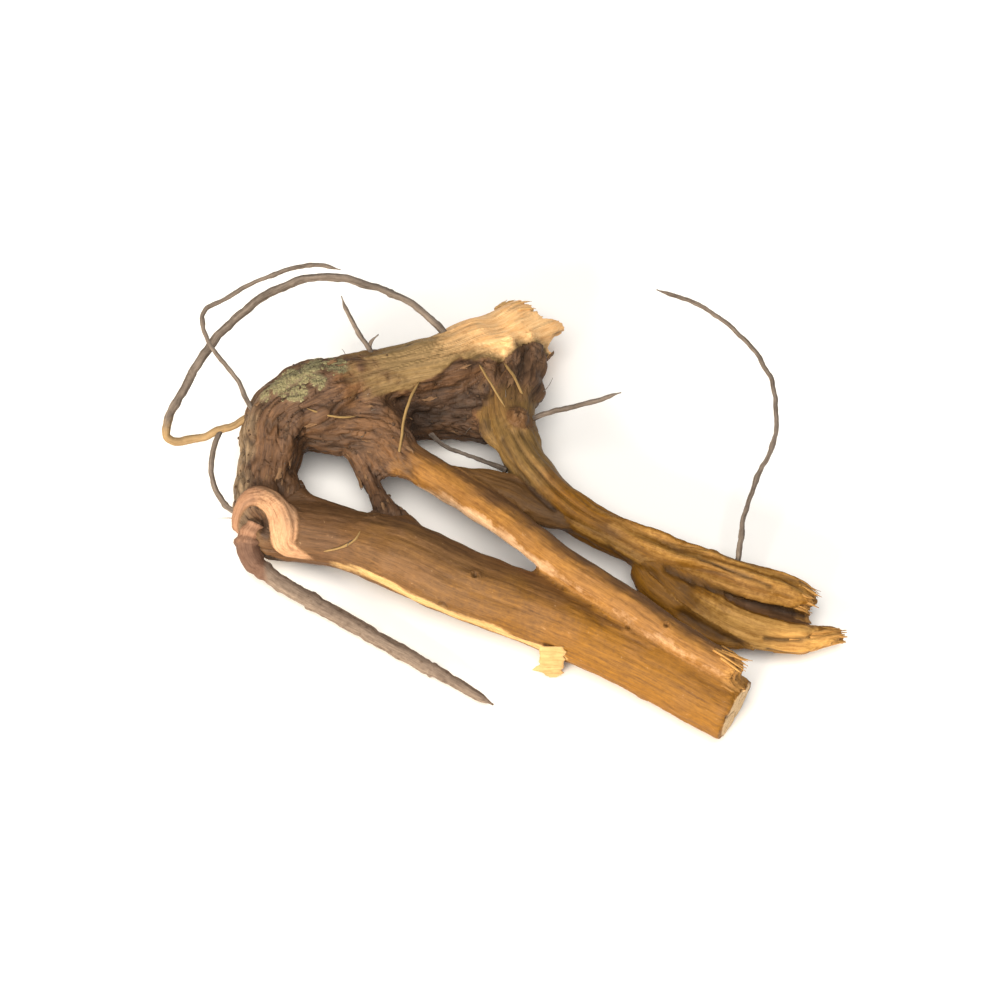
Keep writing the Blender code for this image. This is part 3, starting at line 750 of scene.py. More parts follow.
def torn_ends(skin):
    """How the torn ends move each point along its root, and how far each point is torn wood."""
    moved = np.zeros_like(skin.points)
    bare = np.zeros(len(skin.points))
    for name, first_end, bite, reach in TORN_ENDS:
        over, way, grain, along = skin.reads[name]
        from_end = way if first_end else THICK[name].length[-1] - way
        mine = (over < 0.9) & (from_end < reach)
        across = grain[mine] * (0.0, 1.0, 1.0)
        _, bundle = plates(across, 0.8, 14)
        stick_out = bite * (0.9 * bundle + 0.6 * lumps(across, 1.7, 15) - 0.45)
        stick_out *= (1.0 - np.clip(from_end[mine] / reach, 0.0, 1.0)) ** 2
        moved[mine] += (-along[mine] if first_end else along[mine]) * stick_out[:, None]
        edge = from_end[mine] + 0.8 * lumps(grain[mine], (2.0, 0.6, 0.6), 16)
        bare[mine] = np.maximum(bare[mine], 1.0 - rise(edge, 0.3, 1.3))
    return moved, bare


def rootlet_scars(points):
    """The height of the scars where rootlets were shed, a low rim round a pit, and the painted shade in the
    pit.
    """
    height = np.zeros(len(points))
    dark = np.zeros(len(points))
    for name, way, turn, radius in ROOTLET_SCARS:
        strand = THICK[name]
        number = int(np.argmin(np.abs(strand.length - way)))
        out = cos(radians(turn)) * strand.side[number] + sin(radians(turn)) * strand.up[number]
        away = np.linalg.norm(points - strand.places[number] - out * strand.radii[number], axis=1)
        height += 0.18 * bell(away - radius, 0.28) - 0.30 * bell(away, 0.62 * radius)
        dark = np.maximum(dark, 0.7 * bell(away, 0.7 * radius))
    return height, dark


def bark_colours(skin, shares):
    """Where the bark is amber, golden, olive or ruddy, and the painted highlight on the old bark of the
    bend's left side.
    """
    amber = skin.past(66.0, 102.0, 5.0) * skin.on("main")
    along_prong = skin.past(18.0, 30.0, 3.0) * skin.on("upper_side")
    shares["amber"] = np.max([amber, along_prong, skin.on("fork", "fork_flank")], axis=0)
    shares["golden"] = skin.on("lower_side").astype(float)
    shares["olive"] = np.where(skin.on("upper_side"), 1.0 - along_prong, shares.pop("side_strand"))
    patches = 0.4 * rise(lumps(skin.points, 5.0, 27), 0.0, 0.4)
    patches *= ~skin.on("web", "prong_gap", "fork_flank")
    shares["ruddy"] = np.maximum(shares["ruddy"], patches)
    # A painted highlight where the light falls on the bend's left side.
    faces_left = rise(-skin.normals[:, 0] + 0.3 * skin.ragged, 0.15, 0.75)
    shares["sunned"] = skin.past(32.0, 42.0, 2.0) * faces_left * shares["old_bark"] * skin.on("main")
    shares["stub_of_rootlet"] = skin.part("stump")


def paint_shade(skin, shares):
    """Where painted shade darkens the bark: under the crown, on flanks that face away from the light, on the
    fork's lower flank, in the gap between the prongs, and round the bend.
    """
    flank = skin.flank
    main = skin.on("main")
    crown = skin.on("belly", "hollow_floor") | (main & (skin.way < CROWN_LENGTH - 6.0))
    # Painted shade on the fork's lower flank, where the lower side root shades it.
    fork_shade = rise(-flank, 0.35, 0.8) * rise(skin.points[:, 0], 20.0, 22.5)
    fork_shade *= 1.0 - rise(skin.points[:, 0], 24.0, 29.0)
    # Painted shade under the crown and on the roots' flanks that face away from the light.
    rows = [
        (crown, 0.8 * rise(-(skin.normals @ PICTURE_UP) + 0.3 * skin.ragged, 0.1, 0.7)),
        (main, 0.6 * rise(flank, 0.2, 0.8)),
        (skin.on("lower_side"), 0.9 * rise(flank, 0.12, 0.95)),
        (skin.on("upper_side"), 0.15 * rise(flank, 0.5, 0.95)),
        (skin.on("fork"), 0.9 * fork_shade),
        (skin.on("fork_flank"), 0.15),
        (skin.on("prong_gap"), 1.0),
    ]
    stained = np.select([row[0] for row in rows], [row[1] for row in rows])
    # Painted shade round the inside of the bend, and on the main root just past it.
    inside_bend = skin.past(34.0, 38.0) * (1.0 - skin.past(50.0, 54.0))
    inside_bend *= rise(skin.normals[:, 0], -0.45, 0.25)
    after_bend = 0.8 * skin.past(46.0, 54.0) * (1.0 - skin.past(56.0, 70.0, 3.0))
    shares["stained"] = np.where(main, np.max([stained, inside_bend, after_bend], axis=0), stained)


def worn_and_lit_edges(skin, shares):
    """Where the lower edges of the main root and the lower side root are worn to pale fibre with a painted
    highlight over it, and where the lower side root's lit flank has a painted highlight.
    """
    fibrous = 0.45 * lumps(skin.grain, (6.0, 0.5, 0.5), 51) + 0.25 * lumps(skin.grain, (16.0, 2.0, 2.0), 52)
    lines = {}
    for name, (pixels, width) in WORN_AND_LIT_LINES.items():
        away = along_line(skin.points, skin.surface, pixels) / width + fibrous
        lines[name] = (1.0 - rise(away, 0.35, 1.25)) * skin.on(name)
    # A painted highlight on the lower side root's flank that faces the light.
    lit_flank = rise(-skin.flank, 0.35, 0.95) * skin.past(8.0, 16.0, 2.0) * (1.0 - 0.6 * skin.past(24.0, 34.0))
    shares["worn_line"] = lines["main"] * (0.3 + 0.7 * skin.past(58.5, 66.0, 2.0))
    shares["worn_edge"] = np.maximum(lines["lower_side"], lit_flank * skin.on("lower_side"))


def crest_highlights(skin):
    """The painted highlight on the backs of the wood strands on the prongs, where they face the camera. The
    fork's are the palest.
    """
    over = np.min([strand.read(skin.points)[0] for strand in STRANDS], axis=0)
    upward = rise(skin.normals @ TO_CAMERA + 0.2 * skin.ragged, 0.2, 0.7)
    along = np.where(skin.on("fork"), skin.past(9.0, 15.0, 2.0), 0.45)
    return (1.0 - rise(over + 0.12 * skin.ragged, 0.05, 0.40)) * upward * along


def creased(skin):
    """The height of the creases, and the painted shade along them."""
    height = np.zeros(len(skin.points))
    dark = np.zeros(len(skin.points))
    for pixels, depth, width in CREASES:
        away = along_line(skin.points, skin.surface, pixels) + 0.10 * np.abs(skin.ragged)
        height -= depth * bell(away, width)
        dark = np.maximum(dark, bell(away, 0.9 * width))
    return height, dark


def torn_wood(skin, shares, torn, face):
    """Adds the torn ends: fresh, bare wood on the stub, and older torn wood elsewhere."""
    stub = skin.on("main") & (skin.way < PEELED_LENGTH)
    for name in ("fresh_wood", "bare_wood"):
        shares[name] = np.where(stub, np.maximum(shares[name], torn), shares[name])
    shares["torn_wood"] = torn * (1.0 - face) * ~stub


def covers(skin, shares, face):
    """How far each kind of bark and wood covers each point, and how far the point has lost its bark."""
    lip = shares["lip"] + shares["lip_side"]
    bare = np.max([shares["bare_wood"], shares["torn_wood"], lip, face, 0.8 * shares["worn_line"]], axis=0)
    rough = shares["old_bark"] * (1.0 - bare)
    plain = (1.0 - shares["old_bark"]) * (1.0 - bare)
    fluted = np.where(skin.on("fork", "web"), 0.75, np.where(skin.on("upper_side"), 0.6, 0.12))
    fluted = np.maximum(np.maximum(fluted, 0.45 * shares["folds"]), 0.30 * rough) * (1.0 - face)
    return {"smooth": plain, "crown": rough, "wood": bare * (1.0 - face), "flutes": fluted}, bare


def relief(skin, cover, face, marks):
    """How far each point is raised, in mm, by its bark and wood, the marks on them and its swellings."""
    raised = cover["smooth"] * (skin.height["smooth"] + 0.10 * lumps(skin.points, 2.2, 22))
    raised += cover["crown"] * (skin.height["crown"] + 0.24 * lumps(skin.points, 2.0, 23))
    raised += cover["wood"] * skin.height["wood"]
    raised += cover["flutes"] * skin.height["flutes"]
    raised += marks
    raised += swelling(skin.points) + 0.16 * (1.0 - face) * lumps(skin.points, 4.5, 25)
    return raised


def last_shares(skin, shares, cover, dark_marks):
    """Adds the shares of furrows, papery skin, and soil with painted shade, and drops those that only shaped
    the relief.
    """
    # The furrow share is painted shade in the low places of the relief: grooves, cracks, creases and scar
    # pits.
    dark = cover["smooth"] * skin.dark["smooth"] + cover["crown"] * skin.dark["crown"]
    dark += cover["wood"] * skin.dark["wood"]
    dark += dark_marks + 0.7 * cover["flutes"] * skin.dark["flutes"]
    shares["furrow"] = np.clip(dark, 0.0, 1.0)
    shares["old_bark"] = cover["crown"]
    shares["papery_skin"] = skin.papery
    # Soil and painted shade: the crown's hollow and the scar's pit are darkened as soil and shade together,
    # the shade spots as painted shade alone.
    shares["soil_and_shade"] = np.max([shares.pop("hollow"), shares.pop("pit"), 0.6 * shares.pop("shade")], axis=0)
    shares.pop("folds")


def bark_and_wood(body):
    """Raises bark and wood on the body, and stores what its material reads at each point."""
    skin = Skin(body)
    shares = {name: skin.spots(name) for name in SPOTS}
    for finish in (old_bark, bare_ridge, bark_colours, paint_shade, worn_and_lit_edges):
        finish(skin, shares)
    end_moves, torn = torn_ends(skin)
    face, face_dark, face_height = cut_face(skin, shares)
    torn_wood(skin, shares, torn, face)
    cover, bare = covers(skin, shares, face)
    # The rootlet's stump is torn as well, but its torn end is as dark as its bark.
    shares["torn_wood"][skin.on("stump")] = 0.0
    shares["crest_highlight"] = crest_highlights(skin)
    scar_height, scar_dark = rootlet_scars(skin.points)
    crease_height, crease_dark = creased(skin)
    marks = scar_height * (1.0 - bare) + face_height + crease_height - 0.12 * shares["worn_line"]
    raised = relief(skin, cover, face, marks)
    moved = skin.points + skin.normals * raised[:, None] + end_moves
    moved[:, 2] = np.maximum(moved[:, 2], 0.0)
    body.data.vertices.foreach_set("co", (moved * MM).astype(np.float32).ravel())
    body.data.update()
    last_shares(skin, shares, cover, scar_dark + face_dark + 0.8 * crease_dark)
    for name, values in [*shares.items(), ("grain", skin.grain)]:
        keep(body.data, name, values)
    return skin, shares


def add(tree, kind, inputs=None, give=0, **settings):
    """Adds one node, and returns its output of this name or number.

    Inputs give each named or numbered socket its value, or the output it links to.
    """
    node = tree.nodes.new(f"ShaderNode{kind}")
    for key, value in settings.items():
        setattr(node, key, value)
    for socket, value in (inputs or {}).items():
        if isinstance(value, bpy.types.NodeSocket):
            tree.links.new(value, node.inputs[socket])
        else:
            node.inputs[socket].default_value = value
    return node.outputs[give]


# Bark and wood reflect as plant matter does. A shader's usual specular level is 0.5, but their pores and
# fibres swallow about half of that.
WOOD_IOR = 1.5
SPECULAR_LEVEL = 0.25
# Fibre bundles are about 0.5 mm wide and 6 mm long. Single fibres are 0.02 mm wide, too fine to show, so
# they are drawn as coarse as they need to show: 0.15 mm wide and 2 mm long.
BUNDLE_SCALE = (0.16, 1.9, 1.9)
FIBRE_SCALE = (0.5, 6.5, 6.5)
# Blotches of a dry bark's colour are about 0.6 mm across.
MOTTLE_SCALE = 1.7
# Lenticels: dark, corky dots 0.3 mm across, one to about every 2 mm of bark.
LENTICEL_SCALE = 0.6
LENTICEL_COLOUR = "#3d2917"
# Growth rings are about 0.5 mm apart, and the late wood of each is darker.
RING_WIDTH = 0.5
LATE_WOOD_COLOUR = "#8f6a3e"
# How high the finest fibres stand out, in mm.
FIBRE_HEIGHT = 0.12


def fibre_pattern(tree):
    """What a material's colours and relief follow: its grain, fibres and blotches, and their tone."""
    grain = add(tree, "Attribute", give="Vector", attribute_name="grain")
    noises = []
    for scale, detail, roughness in ((BUNDLE_SCALE, 5.0, 0.62), (FIBRE_SCALE, 3.0, 0.6)):
        stretched = add(tree, "VectorMath", {0: grain, 1: scale}, operation="MULTIPLY")
        inputs = {"Vector": stretched, "Scale": 1.0, "Detail": detail, "Roughness": roughness}
        noises.append(add(tree, "TexNoise", inputs, "Fac"))
    inputs = {"Vector": grain, "Scale": MOTTLE_SCALE, "Detail": 5.0, "Roughness": 0.65}
    mottle = add(tree, "TexNoise", inputs, "Fac")
    fibres = add(tree, "Math", dict(enumerate(noises)), operation="ADD")
    blotched = add(tree, "Math", {0: mottle, 1: 0.6, 2: fibres}, operation="MULTIPLY_ADD")
    tone = add(tree, "MapRange", {"Value": blotched, "From Min": 0.9, "From Max": 1.7})
    return {"grain": grain, "fibres": fibres, "mottle": mottle, "blotched": blotched, "tone": tone}


def layered_colour(tree, pattern, dark, pale, layers):
    """The material's own colour with each layer over it. A layer's edge is ragged where its share fades."""
    colour = add(tree, "Mix", {0: pattern["tone"], 6: lin(dark), 7: lin(pale)}, 2, data_type="RGBA")
    for attribute, strength, dark, pale in layers:
        share = add(tree, "Attribute", give="Fac", attribute_name=attribute)
        ragged = add(tree, "Math", {0: pattern["mottle"], 1: 0.7, 2: -0.35}, operation="MULTIPLY_ADD")
        edged = add(tree, "Math", {0: share, 1: ragged}, operation="ADD")
        inputs = {"Value": edged, "From Min": 0.12, "From Max": 0.88, "To Max": strength}
        cover = add(tree, "MapRange", inputs)
        shade = add(tree, "Mix", {0: pattern["tone"], 6: lin(dark), 7: lin(pale)}, 2, data_type="RGBA")
        colour = add(tree, "Mix", {0: cover, 6: colour, 7: shade}, 2, data_type="RGBA")
    return colour


def lenticel_share(tree, pattern, strength):
    """Where lenticels show: a round dot in each cell of the grain."""
    away = add(tree, "TexVoronoi", {"Vector": pattern["grain"], "Scale": LENTICEL_SCALE}, "Distance")
    dot = add(tree, "MapRange", {"Value": away, "From Min": 0.16, "From Max": 0.09})
    return add(tree, "Math", {0: dot, 1: strength}, operation="MULTIPLY")


def ring_share(tree, pattern, cut_end):
    """Where growth rings show on a cut end: uneven circles round the root's middle."""
    across = add(tree, "VectorMath", {0: pattern["grain"], 1: (0.0, 1.0, 1.0)}, operation="MULTIPLY")
    radius = add(tree, "VectorMath", {0: across}, "Value", operation="LENGTH")
    uneven = add(tree, "Math", {0: pattern["blotched"], 1: 7.0}, operation="MULTIPLY")
    inputs = {0: radius, 1: 2.0 * pi / RING_WIDTH, 2: uneven}
    wave = add(tree, "Math", {0: add(tree, "Math", inputs, operation="MULTIPLY_ADD")}, operation="SINE")
    late = add(tree, "MapRange", {"Value": wave, "From Min": 0.1, "To Max": 0.4})
    cut = add(tree, "Attribute", give="Fac", attribute_name=cut_end)
    return add(tree, "Math", {0: late, 1: cut}, operation="MULTIPLY")


def grained_material(name, roughness, dark, pale, bump, layers=(), lenticels=0.0, cut_end=""):
    """A matt material whose grain runs from a dark to a pale colour. Bump is how far its fibres stand out.

    Each layer is an attribute of the mesh, how strongly it covers, and its dark and pale colours. Lenticels
    is how strongly those show, and cut_end the attribute of the end that shows growth rings.
    """
    material = bpy.data.materials.new(name)
    material.use_nodes = True
    tree = material.node_tree
    shader = tree.nodes["Principled BSDF"]
    shader.inputs["Roughness"].default_value = roughness
    shader.inputs["Metallic"].default_value = 0.0
    shader.inputs["IOR"].default_value = WOOD_IOR
    shader.inputs["Specular IOR Level"].default_value = SPECULAR_LEVEL
    pattern = fibre_pattern(tree)
    colour = layered_colour(tree, pattern, dark, pale, layers)
    marks = []
    if lenticels:
        marks.append((lenticel_share(tree, pattern, lenticels), LENTICEL_COLOUR))
    if cut_end:
        marks.append((ring_share(tree, pattern, cut_end), LATE_WOOD_COLOUR))
    for share, shade in marks:
        colour = add(tree, "Mix", {0: share, 6: colour, 7: lin(shade)}, 2, data_type="RGBA")
    tree.links.new(colour, shader.inputs["Base Color"])
    height = add(tree, "Math", {0: pattern["fibres"], 1: 0.5}, operation="MULTIPLY")
    inputs = {"Strength": bump, "Distance": FIBRE_HEIGHT * MM, "Height": height}
    tree.links.new(add(tree, "Bump", inputs, "Normal"), shader.inputs["Normal"])


# What lies over the root's brown bark, painted shade and highlights among them, from the lowest layer to the
# highest.
BARK_LAYERS = [
    ("papery_skin", 0.40, "#4a331d", "#805e3c"),
    ("amber", 0.97, "#543408", "#926213"),
    ("golden", 0.95, "#643f18", "#a67636"),
    ("olive", 0.90, "#49371c", "#8f6f3c"),
    ("old_bark", 0.95, "#2f1f17", "#70533c"),
    ("ruddy", 0.65, "#4e351d", "#835b36"),
    # Painted highlight on the bend's left side.
    ("sunned", 0.75, "#5e4c35", "#9c876b"),
    # Painted shade.
    ("stained", 0.85, "#3a2717", "#68482d"),
    # Painted highlight on the strands' backs.
    ("crest_highlight", 0.85, "#91632a", "#d9a95f"),
    # Worn fibre with a painted highlight over it, in this layer and the next.
    ("worn_edge", 0.88, "#b18a63", "#e6c4a0"),
    ("worn_line", 0.85, "#ab8148", "#e6c388"),
    ("bare_wood", 1.00, "#5e4a2d", "#957b52"),
    ("fresh_wood", 1.00, "#cf965a", "#f5cd96"),
    ("torn_wood", 0.90, "#704b20", "#b28446"),
    ("stub_of_rootlet", 0.90, "#472e1a", "#6c4f33"),
    ("cut_wood", 0.95, "#b98f5a", "#ecd0a0"),
    ("knob", 0.90, "#4b3123", "#725443"),
    ("lip_side", 0.75, "#755039", "#ac8468"),
    ("lip", 0.90, "#936849", "#d0a680"),
    # Soil with painted shade.
    ("soil_and_shade", 0.90, "#281b12", "#4e3b2e"),
    ("lichen", 0.75, "#534c34", "#988e6e"),
    # Painted shade in the low places of the relief.
    ("furrow", 0.75, "#1f150d", "#38281b"),
]
# Each material's roughness, dark and pale colours and bump, and then what else grained_material takes.
MATERIALS = {
    # Shrub-root bark, dug, washed and air-dried. Thin and brown, it has a low silky sheen on its smooth
    # stretches, is crusty and near black-brown on the old crown, and shows pale fibre where it is gone.
    "dried_root_bark": (0.62, "#4a3014", "#78552b", 0.5, BARK_LAYERS, 0.2, "cut_wood"),
    # The rootlets' shrunken skin: grey-brown, hard and wrinkled, and tan where the loop lies low.
    "wiry_rootlet_bark": (0.72, "#3b312a", "#85786c", 0.4, [("tan", 0.9, "#77603f", "#ab8d63")]),
    # The thin root's bark: smooth, grey-brown and dull, pinker on the knob at its top, tan in the scar.
    "thin_root_bark": (
        0.74, "#4a3c33", "#897869", 0.5,
        [("knob", 0.9, "#4b3123", "#725443"), ("in_scar", 0.9, "#755039", "#ac8468")], 0.4,
    ),
    # Sapwood fibre at the break of the stub: fresh, cream to peach, with a dull silk along the fibres.
    "pale_split_wood": (0.60, "#987241", "#d2ad76", 0.4),
    # Older torn fibre at the side roots' ends: weathered to a dull gold.
    "golden_torn_wood": (0.62, "#805626", "#c39452", 0.4),
    # Bast strips that came loose from the bark: tan, dry and matt.
    "loose_bast": (0.75, "#6c5431", "#a08455", 0.4),
    # A dried lichen crust: small, dead-matt, olive to grey-green lobes.
    "crusted_lichen": (0.95, "#554f36", "#958d69", 0.6),
    # Crumbs of dried soil that washing left in the crown's cracks: dark and dead matt.
    "dried_soil": (0.95, "#2a1e16", "#5c4736", 0.8),
    # Scales of old bark that curl off the crown: dull, with paler, dustier faces.
    "loose_bark_scale": (0.85, "#45311f", "#8c6c4e", 0.5),
}
for material_name, row in MATERIALS.items():
    grained_material(material_name, *row)


def wiry(route, number, free_tip, kink=0.16):
    """A rootlet's line, with the kinks and knots that drying gives it, and a thin tip where it is free."""
    strand = Strand(*centreline(route, 0.25))
    way = strand.length
    line = np.stack([way, np.full(len(way), NOISE_STEP * number), np.zeros(len(way))], axis=1)
    held = np.clip(np.minimum(way, way[-1] - way + (3.0 if free_tip else 0.0)) / 3.0, 0.0, 1.0)[:, None]
    sideways = (kink * lumps(line, 2.4, 30) + 0.3 * kink * lumps(line, 0.8, 31))[:, None]
    upward = (kink * lumps(line, 2.1, 32) + 0.3 * kink * lumps(line, 0.7, 33))[:, None]
    places = strand.places + held * (sideways * strand.side + upward * strand.up)
    knots = 0.22 * rise(lumps(line, 1.6, 34), 0.35, 0.6)
    radii = strand.radii * (0.90 + 0.12 * lumps(line, 0.9, 35) + knots)
    if free_tip:
        radii = radii * np.clip((way[-1] - way) / 1.5, 0.3, 1.0)
    return Strand(places, radii, start=ROOTLET_GRAIN + GRAIN_STEP * number)


def piece_of(name, shapes):
    """One piece made of (points, faces, grain) shapes."""
    points, faces, grain = together(shapes)
    piece = mesh_piece(name, points, faces)
    keep(piece.data, "grain", grain)
    return piece


def tube_piece(name, strand, sides, salt):
    """A tube with the fine wrinkles that drying leaves along it."""
    return piece_of(name, [strand.tube(sides, lambda place: 0.16 * lumps(place, (2.5, 0.32, 0.32), salt))])


def frayed_end(name, root, first_end, turns, count, back, over, radius, splay, salt):
    """Fibres that follow a root's surface to its torn end and stand out past it."""
    rng = np.random.default_rng(salt)
    strand = THICK[root]
    shapes = []
    for number in range(count):
        turn = rng.uniform(*turns)
        seat = rng.uniform(0.72, 1.05)
        begin = rng.uniform(0.45, 1.0) * back
        past = rng.uniform(-0.5, 1.0) * over
        from_end = np.linspace(begin, -past, FIBRE_POINTS)
        share = (begin - from_end) / (begin + past)
        places, numbers = strand.at(from_end if first_end else strand.length[-1] - from_end)
        out = strand.facing(numbers, np.full(len(places), turn) + rng.normal(0.0, 12.0) * share)
        places += out * strand.radii[numbers][:, None] * (seat + splay * share ** 2)[:, None]
        places += rng.normal(0.0, 0.18, 3) * share[:, None] ** 2
        width = radius * rng.uniform(0.6, 1.3) * np.clip((1.0 - share) * 3.0, 0.2, 1.0)
        fibre = Strand(places, width, start=FIBRE_GRAIN + GRAIN_STEP * number)
        shapes.append(fibre.tube(7, lambda place: 0.30 * lumps(place, (4.0, 0.3, 0.3), salt)))
    return piece_of(name, shapes)


def laid_strip(name, surface, pixels, radius, number):
    """A loose strip that runs over the root along the photograph's pixels, and spans the hollows."""
    seen = np.array([seen_at(surface, pixel) for pixel in pixels])
    share = np.linspace(0.0, 1.0, len(seen))
    depth = seen @ TO_CAMERA
    straight = depth[0] + (depth[-1] - depth[0]) * share
    out = np.maximum(straight, depth) - depth + STRIP_LIFT * np.sin(pi * share) - 0.5 * radius
    route = np.column_stack([seen + out[:, None] * TO_CAMERA, np.full(len(seen), radius)])
    strand = wiry(route.tolist(), number, False, 0.08)
    from_end = np.minimum(strand.length, strand.length[-1] - strand.length)
    strand.radii = strand.radii * np.clip(from_end / 0.9, 0.25, 1.0)
    return tube_piece(name, strand, 8, 60 + number)


def solid_plate(top, bottom, columns):
    """Points and faces of a thin closed plate between two grids of points with this many columns."""
    rows = len(top) // columns
    count = len(top)
    faces = []
    for row in range(rows - 1):
        for column in range(columns - 1):
            a = row * columns + column
            faces.append((a, a + 1, a + columns + 1, a + columns))
            faces.append((count + a, count + a + columns, count + a + columns + 1, count + a + 1))
    rim = [*range(columns), *range(2 * columns - 1, rows * columns, columns)]
    rim += range(rows * columns - 2, (rows - 1) * columns - 1, -1)
    rim += range((rows - 2) * columns, 0, -columns)
    for a, b in zip(rim, rim[1:] + rim[:1]):
        faces.append((a, count + a, count + b, b))
    return np.concatenate([top, bottom]), faces


# A bark scale's grid of points and its thickness, and the radius of a fine hair, in mm.
SCALE_ROWS = 10
SCALE_COLUMNS = 6
SCALE_THICKNESS = 0.08
HAIR_RADIUS = 0.07
# The points along a fine hair, and along a fibre of a frayed end.
HAIR_POINTS = 14
FIBRE_POINTS = 12


def bark_scale(rng, place, normal, along):
    """A ragged scale of bark that curls away from the root at one end."""
    length = rng.uniform(0.7, 2.0)
    width = length * rng.uniform(0.25, 0.55)
    along = along * rng.choice([-1.0, 1.0])
    curl = rng.uniform(0.0, 0.25)
    across = np.cross(normal, along)
    across /= np.linalg.norm(across)
    along = np.cross(across, normal)
    run = np.repeat(np.linspace(0.0, 1.0, SCALE_ROWS)[:, None], SCALE_COLUMNS, axis=1)
    side = np.repeat(np.linspace(-1.0, 1.0, SCALE_COLUMNS)[None], SCALE_ROWS, axis=0)
    ragged = 1.0 + rng.uniform(-0.35, 0.35, (SCALE_ROWS, 1)) + rng.uniform(-0.10, 0.10, run.shape)
    half = 0.5 * width * np.sin(pi * np.clip(run, 0.10, 0.90)) ** 0.4 * ragged
    frayed = np.repeat(rng.normal(0.0, 1.0, (1, SCALE_COLUMNS)), SCALE_ROWS, axis=0)
    reach = length * (run + 0.14 * run ** 2 * frayed)
    lift = curl * run ** 2.2 - 0.14 * width * side ** 2 + 0.02
    top = place + reach[..., None] * along + (side * half)[..., None] * across + lift[..., None] * normal
    top = top.reshape(-1, 3)
    points, faces = solid_plate(top, top - normal * SCALE_THICKNESS, SCALE_COLUMNS)
    grain = np.stack([reach.ravel(), (side * half).ravel(), np.zeros(run.size)], axis=1)
    return points, faces, np.concatenate([grain, grain]) + rng.uniform(0.0, 500.0, 3)


def ball():
    """The corners and faces of a small round ball."""
    shape = bmesh.new()
    bmesh.ops.create_icosphere(shape, subdivisions=2, radius=1.0)
    directions = np.array([vertex.co for vertex in shape.verts])
    faces = [tuple(vertex.index for vertex in face.verts) for face in shape.faces]
    shape.free()
    return directions, faces


BALL = ball()


def clod(rng, place, normal, sizes, flat):
    """A crumb or a crust's lobe: a lumpy ball between two sizes, pressed flat against the root."""
    size = rng.uniform(*sizes)
    directions, faces = BALL
    lumpy = 1.0 + 0.50 * lumps(directions + rng.uniform(0.0, 90.0, 3), 0.7, 40)
    points = directions * lumpy[:, None] * size * rng.uniform(0.7, 1.2, 3)
    points -= np.outer(points @ normal, normal) * (1.0 - flat)
    return place + points, faces, points + rng.uniform(0.0, 500.0, 3)


def fine_hair(rng, place, normal):
    """A fine root hair that leaves the root and droops, with a tip as thin as thread."""
    length = rng.uniform(0.8, 2.4)
    share = np.linspace(0.0, 1.0, HAIR_POINTS)[:, None]
    lean = rng.normal(0.0, 0.6, 3)
    curve = rng.normal(0.0, 0.5, 3) - (0.0, 0.0, 0.4)
    places = place - 0.15 * normal + length * (share * (normal + lean) * 0.6 + share ** 2 * curve * 0.5)
    places[:, 2] = np.maximum(places[:, 2], HAIR_RADIUS)
    radii = HAIR_RADIUS * np.linspace(1.0, 0.35, HAIR_POINTS)
    return Strand(places, radii, start=rng.uniform(0.0, 500.0)).tube(6)


def dress(piece, material):
    """Gives a piece the material of this name, and sets it on the frame."""
    piece.data.materials.clear()
    piece.data.materials.append(bpy.data.materials[material])
    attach(piece, "root")


def table():
    """A plain pale table."""
    bpy.ops.mesh.primitive_plane_add(size=4.0, location=(0.0, 0.0, 0.0))
    floor = bpy.context.active_object
    floor.name = "floor"
    material = bpy.data.materials.new("pale_table")
    material.use_nodes = True
    shader = material.node_tree.nodes["Principled BSDF"]
    shader.inputs["Base Color"].default_value = lin("#f7f6f4")
    shader.inputs["Roughness"].default_value = 0.9
    floor.data.materials.append(material)


# The light from all round: its colour and strength.
SKY_COLOUR = "#f4f6fa"
SKY_STRENGTH = 0.28
# Lamps: place in metres, size in metres, power in watts and colour.
LAMPS = {
    "overhead": ((-0.05, -0.16, 0.60), 0.50, 4.6, "#fffaf2"),
    "low_front": ((-0.30, -0.46, 0.20), 0.22, 5.8, "#fff0da"),
}


def studio():
    """Soft light from all round, from above, and from the lower left of the picture."""
    world = bpy.data.worlds.new("studio")
    world.use_nodes = True
    world.node_tree.nodes["Background"].inputs["Color"].default_value = lin(SKY_COLOUR)
    world.node_tree.nodes["Background"].inputs["Strength"].default_value = SKY_STRENGTH
    bpy.context.scene.world = world
    for name, (place, size, power, colour) in LAMPS.items():
        lamp = bpy.data.lights.new(name, "AREA")
        lamp.energy = power
        lamp.size = size
        lamp.color = lin(colour)[:3]
        light = bpy.data.objects.new(name, lamp)
        bpy.context.scene.collection.objects.link(light)
        light.location = place
        light.rotation_euler = (-light.location).to_track_quat("-Z", "Y").to_euler()
    bpy.context.scene.view_settings.view_transform = "Standard"


# Where the camera aims and how far from there it stands, in metres.
CAMERA_TARGET = (-0.0002, 0.0005, 0.006)
CAMERA_DISTANCE = 0.29


def camera():
    """The camera, at the photograph's viewing angle, with the whole root in view."""
    seen_from = bpy.data.objects.new("camera", bpy.data.cameras.new("camera"))
    bpy.context.scene.collection.objects.link(seen_from)
    seen_from.data.lens = 85.0
    seen_from.data.sensor_width = 36.0
    seen_from.data.clip_start = 0.01
    target = Vector(CAMERA_TARGET)
    seen_from.location = target + Vector(TO_CAMERA) * CAMERA_DISTANCE
    seen_from.rotation_euler = (target - seen_from.location).to_track_quat("-Z", "Y").to_euler()
    bpy.context.scene.camera = seen_from


